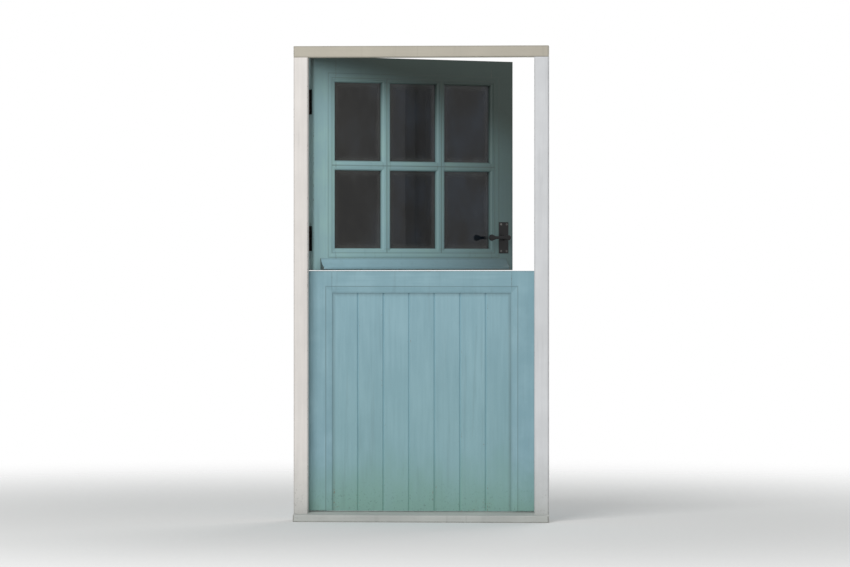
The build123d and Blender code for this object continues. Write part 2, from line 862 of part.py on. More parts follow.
# Hairpin spring between the rear wall of the case and the tail of the bolt
spring_root_x = case_rear + case_wall
spring_touch_x = hook_face - tail_hook
spring_low = latch_z - spring_drop
spring_outline = ring(
    (spring_root_x, latch_z + tail_height / 2),
    (spring_root_x, spring_low),
    (spring_root_x + 2 * spring_strip, spring_low),
    (spring_touch_x, latch_z),
    (spring_touch_x - spring_strip, latch_z + 1),
    (spring_root_x + 1.4 * spring_strip, spring_low + 3 * spring_strip),
    (spring_root_x + spring_strip, spring_low + 3 * spring_strip),
    (spring_root_x + spring_strip, latch_z + tail_height / 2),
)
latch_spring = along_y(spring_outline, leaf_middle - spring_width / 2, leaf_middle + spring_width / 2)


def handle_plate():
    """Iron plate on the outer face of the leaf with a bearing hole for the lever, and its screw places."""
    y0 = leaf_front - handle_plate_thickness
    half_w = handle_plate_width / 2
    half_h = handle_plate_height / 2
    plate = block(spindle_x - half_w, spindle_x + half_w, y0, leaf_front, spindle_z - half_h, spindle_z + half_h)
    plate = chamfer(plate.faces().sort_by(Axis.Y)[0].edges(), handle_plate_chamfer)
    plate -= rod_y(lever_journal_radius + lever_running_gap, spindle_x, spindle_z, y0 - 1, leaf_front + 1, bore=True)
    places = []
    for sx in (-1, 1):
        for sz in (-1, 1):
            place_x = spindle_x + sx * (half_w - handle_screw_inset)
            place_z = spindle_z + sz * (half_h - handle_screw_inset)
            places.append((place_x, y0, place_z))
    return plate, places


def lever():
    """Outside lever: a round neck that turns in the plate, and a flat arm that widens to a rounded tip."""
    surface = leaf_front - handle_plate_thickness
    arm_near = surface - lever_stand_off
    arm_far = arm_near - lever_thickness
    tip_x = spindle_x - lever_reach + lever_tip_radius
    neck_x = spindle_x - lever_reach * 0.66
    tip = Pos(tip_x, spindle_z) * Circle(lever_tip_radius)
    neck = Pos(neck_x, spindle_z) * Circle(lever_neck)
    outline = make_hull(tip.edges() + neck.edges()) + Pos(spindle_x, spindle_z) * Circle(lever_hub_radius)
    outline += Pos((spindle_x + neck_x) / 2, spindle_z) * Rectangle(spindle_x - neck_x, 2 * lever_neck)
    arm = extrude(Plane.XZ.offset(-arm_far) * outline, amount=lever_thickness, dir=(0, 1, 0))
    arm = chamfer(arm.faces().sort_by(Axis.Y)[0].edges(), lever_chamfer)
    journal = rod_y(lever_journal_radius, spindle_x, spindle_z, arm_near, leaf_front)
    half = spindle_size / 2 + spindle_gap
    socket = block(
        spindle_x - half,
        spindle_x + half,
        surface - spindle_grip,
        leaf_front + beyond,
        spindle_z - half,
        spindle_z + half,
    )
    return arm + journal - socket


leaf_centre_plane = Plane((0, leaf_middle, 0), z_dir=(0, 1, 0))
plate, outside_places = handle_plate()
inside_places = [(x, 2 * leaf_middle - y, z) for x, y, z in outside_places]
outside_holes = fasten("upper_leaf_screws", outside_places, (0, 1, 0))
inside_holes = fasten("upper_leaf_screws", inside_places, (0, -1, 0))
for hole in outside_holes:
    plate -= hole
    lock_stile -= hole
for hole in inside_holes:
    lock_stile -= hole
add("outside_handle_plate", plate, turns=True)
add("inside_handle_plate", mirror(plate, leaf_centre_plane), turns=True)
outside_lever = lever()
add("outside_lever", outside_lever, turns=True)
add("inside_lever", mirror(outside_lever, leaf_centre_plane), turns=True)

reach = handle_plate_thickness + spindle_grip
spindle = block(
    spindle_x - spindle_size / 2,
    spindle_x + spindle_size / 2,
    leaf_front - reach,
    leaf_back + reach,
    spindle_z - spindle_size / 2,
    spindle_z + spindle_size / 2,
)
add("lever_spindle", spindle, turns=True)
add("latch_follower", follower, turns=True)
add("latch_bolt", latch_bolt, turns=True)
add("latch_spring", latch_spring, turns=True)
add("latch_case", latch_case, turns=True)
add("latch_forend", forend, turns=True)

# Strike plate in the lock-side jamb

strike_z0 = latch_z - strike_height / 2
strike_z1 = latch_z + strike_height / 2
strike_y0 = leaf_middle - strike_width / 2
strike = block(
    half_rebate, half_rebate + strike_thickness, strike_y0, strike_y0 + strike_width, strike_z0, strike_z1
)
jamb_bodies["lock"] -= strike
strike_mouth = block(
    half_rebate - 1,
    half_rebate + strike_pocket,
    latch_y0 - strike_clearance,
    latch_y1 + strike_clearance,
    latch_z0 - strike_clearance,
    latch_z1 + strike_clearance,
)
strike -= strike_mouth
jamb_bodies["lock"] -= strike_mouth
for hole in fasten(
    "frame_screws",
    [
        (half_rebate, leaf_middle, strike_z0 + strike_screw_inset),
        (half_rebate, leaf_middle, strike_z1 - strike_screw_inset),
    ],
    (1, 0, 0),
):
    strike -= hole
    jamb_bodies["lock"] -= hole
add("strike_plate", strike)

# Slide bolts on the inner faces: a flat rod in two folded straps on a plate, and a keep with one strap


def bolt_plate(plane, start, end, width, straps, rod, gap):
    """Plate along the X of a plane whose Z stands off the timber, with straps folded over the rod's path."""
    plate = Pos((start + end) / 2, 0, bolt_plate_thickness / 2) * Box(end - start, width, bolt_plate_thickness)
    plate = chamfer(plate.faces().sort_by(Axis.Z)[-1].edges(), bolt_plate_chamfer)
    path_half = rod[0] / 2 + gap
    path_top = bolt_plate_thickness + rod[1] + 2 * gap
    path = oblong(-path_half, path_half, bolt_plate_thickness, path_top)
    outer = path_half + strap_wall
    crown = path_top + strap_wall
    outline = ring(
        (-outer, bolt_plate_thickness),
        (-outer, crown - strap_wall),
        (-outer + strap_wall, crown),
        (outer - strap_wall, crown),
        (outer, crown - strap_wall),
        (outer, bolt_plate_thickness),
    )
    for strap_start, strap_end in straps:
        plate += along_x(outline, strap_start, strap_end) - along_x(path, strap_start - beyond, strap_end + beyond)
    return plane * plate


def slide_rod(plane, start, end, rod, knob_x):
    """Flat rod, chamfered at its leading end, with a turned knob that widens from its foot."""
    low = bolt_plate_thickness + rod_running_gap
    top = low + rod[1]
    bar = block(start, end, -rod[0] / 2, rod[0] / 2, low, top)
    bar = chamfer(bar.faces().sort_by(Axis.X)[-1].edges(), rod_chamfer)
    profile = ring(
        (0, top - 1),
        (knob_foot_radius, top - 1),
        (knob_radius, top + knob_height - knob_bevel),
        (knob_radius - knob_bevel, top + knob_height),
        (0, top + knob_height),
    )
    knob = Pos(knob_x, 0, 0) * revolve(Plane.XZ * make_face(profile), Axis.Z)
    return plane * (bar + knob)


def plate_screws(plane, ends, width):
    """Screws in pairs across a bolt plate, near its long edges."""
    side = width / 2 - screw_head_radius - 1.5
    return [plane.from_local_coords((x, s * side, bolt_plate_thickness)) for x in ends for s in (-1, 1)]


screw_end = bolt_screw_inset - 3  # from the end of a bolt plate to its screws
lower_bolt_z = lower_top - lower_bolt_drop
lower_bar = (rod_width, rod_thickness)
bolt_plane = Plane((0, leaf_back, lower_bolt_z), x_dir=(1, 0, 0), z_dir=(0, 1, 0))
lower_rod_end = half_leaf - lower_bolt_edge
lower_rod_start = lower_rod_end - lower_bolt_length
lower_strap_start = lower_rod_start + lower_bolt_travel + 4
lower_straps = [
    (lower_strap_start, lower_strap_start + strap_length),
    (lower_rod_end - 4 - strap_length, lower_rod_end - 4),
]
lower_plate = bolt_plate(
    bolt_plane, lower_rod_start, lower_rod_end, bolt_plate_width, lower_straps, lower_bar, rod_running_gap
)
lower_knob_x = lower_strap_start + strap_length + knob_radius + 8
lower_rod = slide_rod(bolt_plane, lower_rod_start, lower_rod_end, lower_bar, lower_knob_x)
for hole in fasten(
    "lower_leaf_screws",
    plate_screws(bolt_plane, (lower_rod_start + screw_end, lower_rod_end - screw_end), bolt_plate_width),
    (0, -1, 0),
):
    lower_plate -= hole
    lower_stiles["lock"] -= hole
    lower_rails["top"] -= hole
add("lower_bolt_plate", lower_plate)
add("lower_bolt_rod", lower_rod)

keep_start = half_rebate + lower_keep_inset
keep_end = keep_start + keep_plate_length
keep_plane = Plane((0, back, lower_bolt_z), x_dir=(1, 0, 0), z_dir=(0, 1, 0))
keep_straps = [(keep_start + 2, keep_start + 2 + strap_length)]
keep = bolt_plate(keep_plane, keep_start, keep_end, bolt_plate_width, keep_straps, lower_bar, keep_gap)
for hole in fasten(
    "frame_screws", plate_screws(keep_plane, [keep_end - screw_end], bolt_plate_width), (0, -1, 0)
):
    keep -= hole
    jamb_bodies["lock"] -= hole
add("lower_bolt_keep", keep)

joining_bar = (joining_rod_width, joining_rod_thickness)
joining_bolt_x = lower_rod_start - joining_bolt_clearance - joining_plate_width / 2
joining_plane = Plane(
    (joining_bolt_x, leaf_back, upper_foot + joining_bolt_length + 4), x_dir=(0, 0, -1), z_dir=(0, 1, 0)
)
joining_tip = joining_bolt_length + 2  # its rod ends just above the foot of the leaf
joining_straps = [
    (joining_bolt_travel + 3, joining_bolt_travel + 3 + joining_strap_length),
    (joining_tip - 4 - joining_strap_length, joining_tip - 4),
]
joining_plate = bolt_plate(
    joining_plane, 0, joining_bolt_length, joining_plate_width, joining_straps, joining_bar, rod_running_gap
)
joining_knob_x = joining_straps[0][1] + knob_radius - 1
joining_rod = slide_rod(joining_plane, 2, joining_tip, joining_bar, joining_knob_x)
for hole in fasten(
    "upper_leaf_screws",
    plate_screws(joining_plane, (screw_end, joining_bolt_length - screw_end), joining_plate_width),
    (0, -1, 0),
):
    joining_plate -= hole
    upper_rails["bottom"] -= hole
add("joining_bolt_plate", joining_plate, turns=True)
add("joining_bolt_rod", joining_rod, turns=True)

joining_keep_plane = Plane((joining_bolt_x, leaf_back, lower_top - leaf_arris), x_dir=(0, 0, -1), z_dir=(0, 1, 0))
joining_keep = bolt_plate(
    joining_keep_plane,
    0,
    joining_keep_height,
    joining_plate_width,
    [(1, 1 + joining_strap_length)],
    joining_bar,
    keep_gap,
)
for hole in fasten(
    "lower_leaf_screws",
    plate_screws(joining_keep_plane, [joining_keep_height - screw_end], joining_plate_width),
    (0, -1, 0),
):
    joining_keep -= hole
    lower_rails["top"] -= hole
add("joining_bolt_keep", joining_keep)

# Finished timbers and screws

add("sill", sill)
add("head", head)
add("hinge_jamb", jamb_bodies["hinge"])
add("lock_jamb", jamb_bodies["lock"])
add("upper_hinge_stile", upper_stiles["hinge"], turns=True)
add("upper_lock_stile", lock_stile, turns=True)
add("upper_top_rail", upper_rails["top"], turns=True)
add("upper_bottom_rail", upper_rails["bottom"], turns=True)
for number, bar in enumerate(upright_bars, 1):
    add(f"upright_bar_{number}", bar, turns=True)
add("cross_bars", Compound(children=cross_bars), turns=True)
add("weatherboard", weatherboard, turns=True)
add("lower_hinge_stile", lower_stiles["hinge"])
add("lower_lock_stile", lower_stiles["lock"])
add("lower_top_rail", lower_rails["top"])
add("lower_bottom_rail", lower_rails["bottom"])
for name, group in screws.items():
    add(name, Compound(children=group), turns=name == "upper_leaf_screws")

# Turn the upper leaf ajar and write the pieces

pin_axis = Axis((hinge_x, hinge_y, 0), (0, 0, 1))
os.makedirs("parts", exist_ok=True)
for name, shape in nodes.items():
    placed = shape.rotate(pin_axis, open_angle) if name in turning else shape
    export_step(placed, f"parts/{name}.step")

print(f"pieces {len(nodes)}")
print(f"hinge pins at x {hinge_x:.3f} y {hinge_y:.3f}, leaf {2 * half_leaf:.1f} wide")
print(f"spindle shut at x {spindle_x:.3f} z {spindle_z:.3f}, frame top {frame_top:.1f}")
print(f"overall {2 * half_frame:.1f} wide, {frame_depth + sill_nosing:.1f} deep over the sill")
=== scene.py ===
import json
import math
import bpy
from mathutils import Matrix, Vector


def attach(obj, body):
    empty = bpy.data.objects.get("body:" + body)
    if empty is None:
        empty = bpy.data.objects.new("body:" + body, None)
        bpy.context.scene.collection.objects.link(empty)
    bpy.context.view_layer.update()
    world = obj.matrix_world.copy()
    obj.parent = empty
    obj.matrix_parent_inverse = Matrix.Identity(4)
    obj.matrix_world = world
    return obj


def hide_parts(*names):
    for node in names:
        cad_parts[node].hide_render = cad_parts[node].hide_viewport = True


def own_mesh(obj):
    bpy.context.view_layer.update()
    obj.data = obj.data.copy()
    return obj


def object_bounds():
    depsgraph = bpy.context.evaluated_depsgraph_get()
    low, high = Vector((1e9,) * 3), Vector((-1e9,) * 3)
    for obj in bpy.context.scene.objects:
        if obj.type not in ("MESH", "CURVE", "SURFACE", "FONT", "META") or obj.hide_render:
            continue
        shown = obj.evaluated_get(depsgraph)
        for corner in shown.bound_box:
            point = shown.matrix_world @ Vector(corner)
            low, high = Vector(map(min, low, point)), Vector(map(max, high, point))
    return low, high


bl_info = {
    "name": "Split stable door",
    "version": (1, 0, 0),
    "blender": (4, 5, 0),
    "location": "3D View > Sidebar > Stable Door",
    "description": "Dresses a split timber stable door in weathered paint, dark glass and black iron",
    "category": "Add Mesh",
}

import bmesh
import bpy
import numpy as np
from bpy.props import FloatProperty, FloatVectorProperty, PointerProperty
from bpy.types import Operator, Panel, PropertyGroup
from mathutils import Vector

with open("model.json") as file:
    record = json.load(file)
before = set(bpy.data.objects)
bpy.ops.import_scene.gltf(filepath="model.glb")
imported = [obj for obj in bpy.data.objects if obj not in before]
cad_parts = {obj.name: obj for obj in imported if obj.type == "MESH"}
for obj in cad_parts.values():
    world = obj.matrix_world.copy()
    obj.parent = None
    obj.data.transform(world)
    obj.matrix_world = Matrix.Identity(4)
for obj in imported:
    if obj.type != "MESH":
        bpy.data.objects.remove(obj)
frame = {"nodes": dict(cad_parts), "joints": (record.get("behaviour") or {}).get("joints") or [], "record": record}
CAD_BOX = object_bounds()

NODES = frame["nodes"]
JOINTS = {joint["name"]: joint for joint in frame["joints"]}
BODIES = frame["record"]["behaviour"]["bodies"]
PIN = np.array(JOINTS["upper_leaf_hinge"]["pos_m"])
AJAR = math.radians(-JOINTS["upper_leaf_hinge"]["range_deg"][0])
BODY_OF = {node: body for body, members in BODIES.items() for node in members}
UPPER_BODIES = ("upper_leaf", "lever_handle", "latch_bolt", "joining_bolt")
TURNED = {node for body in UPPER_BODIES for node in BODIES[body]}
SLOTS = {part["node"]: part["material_slot"] for part in frame["record"]["subparts"]}
PANES = sorted(node for node in NODES if node.startswith("pane_"))
BOARD_COUNT = sum(node.startswith("board_") for node in NODES)

MM = 0.001
MERGE_DISTANCE = 0.03 * MM
LEAST_EDGE = 0.001 * MM
HAIR = 0.01 * MM  # a radius that merging closes to a point
END_SHARE = 0.001  # size of an end outline that merging closes, as a share of the full one
NEARLY = 0.1 * MM  # points this near to a level lie on it
SMOOTH_BELOW = math.radians(35)


def turned(points, angle):
    """Points turned by an angle about the upright axis of the hinge pins."""
    cos, sin = math.cos(angle), math.sin(angle)
    x, y = points[..., 0] - PIN[0], points[..., 1] - PIN[1]
    return np.stack([PIN[0] + cos * x - sin * y, PIN[1] + sin * x + cos * y, points[..., 2]], axis=-1)


def shut_points(node):
    """Corners of a node's mesh, with the upper leaf turned back to where it is shut."""
    mesh = NODES[node].data
    points = np.empty(len(mesh.vertices) * 3)
    mesh.vertices.foreach_get("co", points)
    points = points.reshape(-1, 3)
    return turned(points, -AJAR) if node in TURNED else points


def box_of(points):
    """Lowest and highest corner of some points."""
    return points.min(axis=0), points.max(axis=0)


def shut_box(node):
    """Lowest and highest corner of a node, with the upper leaf turned back to where it is shut."""
    return box_of(shut_points(node))


def islands(node):
    """Corner points of each solid of a node, found by spreading the lowest number along the edges."""
    mesh = NODES[node].data
    points, same = np.unique(np.round(shut_points(node), 6), axis=0, return_inverse=True)
    edges = np.empty(len(mesh.edges) * 2, dtype=int)
    mesh.edges.foreach_get("vertices", edges)
    ends = same.reshape(-1)[edges].reshape(-1, 2)
    number = np.arange(len(points))
    settled = False
    while not settled:
        spread = number.copy()
        np.minimum.at(spread, ends.ravel(), np.repeat(number[ends].min(axis=1), 2))
        settled = (spread == number).all()
        number = spread
    return [points[number == k] for k in np.unique(number)]


def quads_over(points):
    """Surface over a grid of points, which closes round its columns."""
    rows, columns = points.shape[:2]
    row = np.arange(rows - 1)[:, None] * columns
    column = np.arange(columns)[None, :]
    beside = (column + 1) % columns
    quads = np.stack([row + column, row + beside, row + columns + beside, row + columns + column], axis=-1)
    return points.reshape(-1, 3), quads.reshape(-1, 4)


def joined(*surfaces):
    """Several surfaces as one."""
    before = np.cumsum([0] + [len(points) for points, _ in surfaces[:-1]])
    points = np.concatenate([points for points, _ in surfaces])
    return points, np.concatenate([quads + start for (_, quads), start in zip(surfaces, before)])


def lathe(profile, sides):
    """Profile of radii and heights turned about Z. A radius of 0 becomes a hair, which piece() closes."""
    radius, height = np.array(profile, dtype=float).T[:, :, None]
    turn = np.linspace(0, 2 * math.pi, sides, endpoint=False)
    radius = np.maximum(radius, HAIR)
    return quads_over(np.stack([radius * np.cos(turn), radius * np.sin(turn), height + 0 * turn], axis=-1))


def slab(low, high, bevel):
    """Box with every edge bevelled: octagonal outlines stacked along Z, all but closed at each end."""
    low, high = np.asarray(low, dtype=float), np.asarray(high, dtype=float)
    middle, half = (low + high) / 2, (high - low) / 2
    corner = np.array([(1, -1), (1, 1), (-1, 1), (-1, -1)]).repeat(2, axis=0)
    pull = np.array([(1, 0), (0, 1), (0, 1), (1, 0)] * 2)
    shut = half[:2].min() * (1 - END_SHARE)
    inset = np.array([shut, bevel, 0, 0, bevel, shut])[:, None, None]
    level = np.array([-half[2], -half[2], bevel - half[2], half[2] - bevel, half[2], half[2]])[:, None]
    outline = corner * (half[:2] - inset) - corner * pull * bevel * (inset < bevel * 2)
    points = np.concatenate([outline, (level + 0 * outline[..., 0])[..., None]], axis=-1)
    return quads_over(points + middle)


def aimed(surface, origin, axis, turn=0.0):
    """Surface drawn about Z, spun by a turn, aimed along an axis and moved to an origin."""
    points, quads = surface
    rotation = np.array(Vector(axis).to_track_quat("Z", "Y").to_matrix())
    cos, sin = math.cos(turn), math.sin(turn)
    spin = np.array([(cos, -sin, 0), (sin, cos, 0), (0, 0, 1)])
    return points @ (rotation @ spin).T + np.asarray(origin), quads


def placed(name, surface):
    """Object in the scene whose mesh is a surface."""
    points, quads = surface
    mesh = bpy.data.meshes.new(name)
    mesh.from_pydata(points.tolist(), [], quads.tolist())
    thing = bpy.data.objects.new(name, mesh)
    bpy.context.collection.objects.link(thing)
    return thing


def piece(name, surface, node):
    """Object with a surface in the shut position, which replaces a CAD node and rides where that rides.

    Points that lie closer than the merging distance become one, which closes seams, poles and narrow ends.
    """
    points, quads = surface
    if node in TURNED:
        points = turned(points, AJAR)
    thing = placed(name, (points, quads))
    mesh = thing.data
    solid = bmesh.new()
    solid.from_mesh(mesh)
    bmesh.ops.remove_doubles(solid, verts=solid.verts, dist=MERGE_DISTANCE)
    bmesh.ops.dissolve_degenerate(solid, edges=solid.edges, dist=LEAST_EDGE)
    bmesh.ops.recalc_face_normals(solid, faces=solid.faces)
    solid.to_mesh(mesh)
    solid.free()
    mesh.shade_smooth()
    mesh.set_sharp_from_angle(angle=SMOOTH_BELOW)
    mesh.materials.append(metal(SLOTS[node], node in TURNED))
    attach(thing, BODY_OF[node])
    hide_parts(node)
    return thing


def linear(color):
    """Display values turned into scene-linear ones, with full opacity."""
    return tuple(c / 12.92 if c <= 0.04045 else ((c + 0.055) / 1.055) ** 2.4 for c in color[:3]) + (1.0,)


class Value:
    """Output of a node. An operator between two of them, or with a number, adds one Math node."""

    def __init__(self, shading, socket):
        self.shading = shading
        self.socket = socket

    def math(self, operation, *others):
        values = dict(enumerate((self, *others)))
        return self.shading.add("ShaderNodeMath", {"operation": operation}, values)

    def __add__(self, other):
        return self.math("ADD", other)

    __radd__ = __add__

    def __sub__(self, other):
        return self.math("SUBTRACT", other)

    def __rsub__(self, other):
        return self.shading.add("ShaderNodeMath", {"operation": "SUBTRACT"}, {0: other, 1: self})

    def __mul__(self, other):
        return self.math("MULTIPLY", other)

    __rmul__ = __mul__

    def __abs__(self):
        return self.math("ABSOLUTE")

    def low(self, other):
        return self.math("MINIMUM", other)

    def high(self, other):
        return self.math("MAXIMUM", other)

    def within(self, low, high):
        """Distance to the nearer of two limits, below 0 outside them."""
        return (self - float(low)).low(float(high) - self)

    def rise(self, start, end):
        """0 before start, 1 after end and smooth between them. With start past end it falls."""
        if start > end:
            return 1 - self.rise(end, start)
        settings = {"interpolation_type": "SMOOTHSTEP"}
        return self.shading.add("ShaderNodeMapRange", settings, {0: self, 1: start, 2: end, 3: 0.0, 4: 1.0})


class Shading:
    """Nodes of one material or of the surroundings, whose data block is given."""

    def __init__(self, block):
        block.use_nodes = True
        self.block, self.tree = block, block.node_tree
        self.tree.nodes.clear()

    def add(self, kind, settings=None, values=None, output=0):
        """Node of a type, with its settings first and then the values or links of its sockets."""
        node = self.tree.nodes.new(kind)
        for name, value in (settings or {}).items():
            setattr(node, name, value)
        for key, value in (values or {}).items():
            if isinstance(value, Value):
                self.tree.links.new(value.socket, node.inputs[key])
            else:
                node.inputs[key].default_value = value
        return Value(self, node.outputs[output])

    def finished(self, shader, kind="ShaderNodeOutputMaterial"):
        """The data block, with a shader as its output."""
        self.tree.links.new(shader.socket, self.tree.nodes.new(kind).inputs["Surface"])
        return self.block


class Finish(Shading):
    """One material. Its patterns lie on Object coordinates, turned back to the shut leaf where asked."""

    def __init__(self, name, shut_again=False):
        super().__init__(bpy.data.materials.new(name))
        self.vector = self.add("ShaderNodeTexCoord", output="Object")
        if shut_again:
            values = {0: self.vector, "Location": turned(np.zeros(3), -AJAR), "Rotation": (0, 0, -AJAR)}
            self.vector = self.add("ShaderNodeMapping", values=values)

    def axes(self):
        """The three coordinates."""
        parts = self.add("ShaderNodeSeparateXYZ", values={0: self.vector})
        return [Value(self, parts.socket.node.outputs[k]) for k in range(3)]

    def noise(self, scale, detail=3.0, roughness=0.5, distortion=0.0, stretch=None, shift=(0, 0, 0)):
        """Cloudy noise between 0 and 1, drawn out along each axis whose stretch is under 1."""
        vector = self.vector
        if stretch:
            vector = self.add("ShaderNodeMapping", values={0: vector, "Location": shift, "Scale": stretch})
        values = {"Scale": scale, "Detail": detail, "Roughness": roughness, "Distortion": distortion}
        return self.add("ShaderNodeTexNoise", values={"Vector": vector, **values})

    def dimples(self, scale):
        """Rounded cells whose height rises from their middles."""
        values = {"Vector": self.vector, "Scale": scale}
        return self.add("ShaderNodeTexVoronoi", {"feature": "SMOOTH_F1"}, values)

    def tint(self, amount, first, second):
        """First colour where the amount is 0 and second where it is 1."""
        return self.add("ShaderNodeMix", {"data_type": "RGBA"}, {0: amount, 6: first, 7: second}, output=2)

    def shaded(self, amount, color):
        """Colour multiplied by a grey amount."""
        grey = self.add("ShaderNodeCombineXYZ", values={0: amount, 1: amount, 2: amount})
        return self.add("ShaderNodeVectorMath", {"operation": "MULTIPLY"}, {0: color, 1: grey})

    def bump(self, height, depth, normal=None):
        """Normal from a height between 0 and 1 that stands for a depth in metres."""
        values = {"Height": height, "Distance": depth, "Strength": 1.0}
        if normal:
            values["Normal"] = normal
        return self.add("ShaderNodeBump", values=values)

    def surface(self, **values):
        """Principled surface as the material's output. Underscores in the names stand for spaces."""
        values = {name.replace("_", " "): value for name, value in values.items()}
        return self.finished(self.add("ShaderNodeBsdfPrincipled", values=values))


def color_setting(name, description, default):
    """Colour that a user may change, in display values."""
    return FloatVectorProperty(
        name=name, description=description, subtype="COLOR_GAMMA", size=3, min=0, max=1, default=default
    )


def length_setting(name, description, default, least, most):
    """Length that a user may change, in metres."""
    return FloatProperty(
        name=name, description=description, subtype="DISTANCE", unit="LENGTH",
        default=default, min=least, max=most,
    )


def share_setting(name, description, default):
    """Share between 0 and 1 that a user may change."""
    return FloatProperty(name=name, description=description, subtype="FACTOR", default=default, min=0, max=1)


class PaintSettings(PropertyGroup):
    """Colours, painted shade and wear of the two paints."""

    leaf: color_setting("Leaf paint", "Pale blue-green of the two leaves", (0.520, 0.662, 0.704))
    leaf_bleached: color_setting("Bleached paint", "Paler where sun and rain reach it", (0.566, 0.706, 0.746))
    # Painted shade: the colour that the ajar leaf's outer side is darkened to, standing for the shade of the head
    # and of the room it swings into.
    leaf_painted_shade: color_setting("Sheltered paint", "Deeper where sun and rain miss it", (0.147, 0.184, 0.155))
    leaf_foot: color_setting("Foot of the leaf", "Greener where rain splashes", (0.500, 0.655, 0.600))
    frame: color_setting("Frame paint", "Weathered white of the jambs", (0.858, 0.850, 0.843))
    # Painted shade: the head is the jambs' white made darker and warmer, standing for the shade over the head.
    head: color_setting("Head paint", "Warmer, dirtier white of the head", (0.732, 0.706, 0.648))
    sill: color_setting("Sill paint", "Grey-white of the trodden sill", (0.702, 0.710, 0.694))
    # The grime colour lays both dirt and painted shade.
    grime_and_shade: color_setting("Grime", "Dirt in corners and seams", (0.235, 0.255, 0.235))
    bare: color_setting("Bare wood", "Grey wood where the paint has chipped off", (0.475, 0.430, 0.375))
    stroke_width: length_setting("Brush stroke", "Width of the brush marks", 1.8 * MM, 0.0002, 0.02)
    splash_height: length_setting("Splash height", "How far up the door's foot rain splashes", 0.26, 0.0, 1.0)
    wear: share_setting("Wear", "How much paint has chipped from the arrises", 0.35)


class HardwareSettings(PropertyGroup):
    """Colours and finish of the glass and the metal."""

    # Painted shade: the glass colours stand for the dark room seen through the panes, warmer on the hinge side,
    # and the cover lets little of what lies behind show through.
    glass: color_setting("Glass", "Depth of the dark panes", (0.100, 0.140, 0.185))
    painted_warm_interior: color_setting("Warm glass", "Depth of the panes on the hinge side", (0.150, 0.135, 0.100))
    glass_cover: share_setting("Glass cover", "How little shows through each face of a pane", 0.88)
    dust: color_setting("Dust", "Film of dust on the glass", (0.680, 0.687, 0.673))
    iron: color_setting("Iron", "Black lacquer", (0.065, 0.065, 0.070))
    iron_worn: color_setting("Worn iron", "Where hands have rubbed the lacquer", (0.190, 0.182, 0.174))
    rust: color_setting("Rust", "Specks where the lacquer has failed", (0.300, 0.200, 0.140))
    steel: color_setting("Steel", "Dull plated steel", (0.430, 0.430, 0.420))
    hammer_mark: length_setting("Hammer mark", "Size of the dimples in the iron", 4 * MM, 0.0005, 0.02)


class StageSettings(PropertyGroup):
    """Camera, floor and light."""

    camera_place: FloatVectorProperty(
        name="Camera", description="Where the camera stands", subtype="TRANSLATION", unit="LENGTH", size=3,
        default=(0.89, -15.05, 1.02),
    )
    lens: FloatProperty(
        name="Lens", description="Focal length", default=160.0, min=20.0, max=400.0, unit="CAMERA"
    )
    world_light: FloatProperty(
        name="World light", description="Strength of the light from all round", default=0.42, min=0, max=5
    )
    key_light: FloatProperty(
        name="Key light", description="Power of the large lamp in front", default=300.0, min=0, unit="POWER"
    )
    floor: color_setting("Floor", "Pale matt floor", (0.936, 0.936, 0.931))


def scaled(color, share):
    """Colour times a share, which is one number or one for each channel, and no brighter than full."""
    return [min(c * s, 1.0) for c, s in zip(color, np.broadcast_to(share, 3))]


def dress(node, material):
    """Give a CAD node its material."""
    slots = NODES[node].data.materials
    slots.clear()
    slots.append(material)


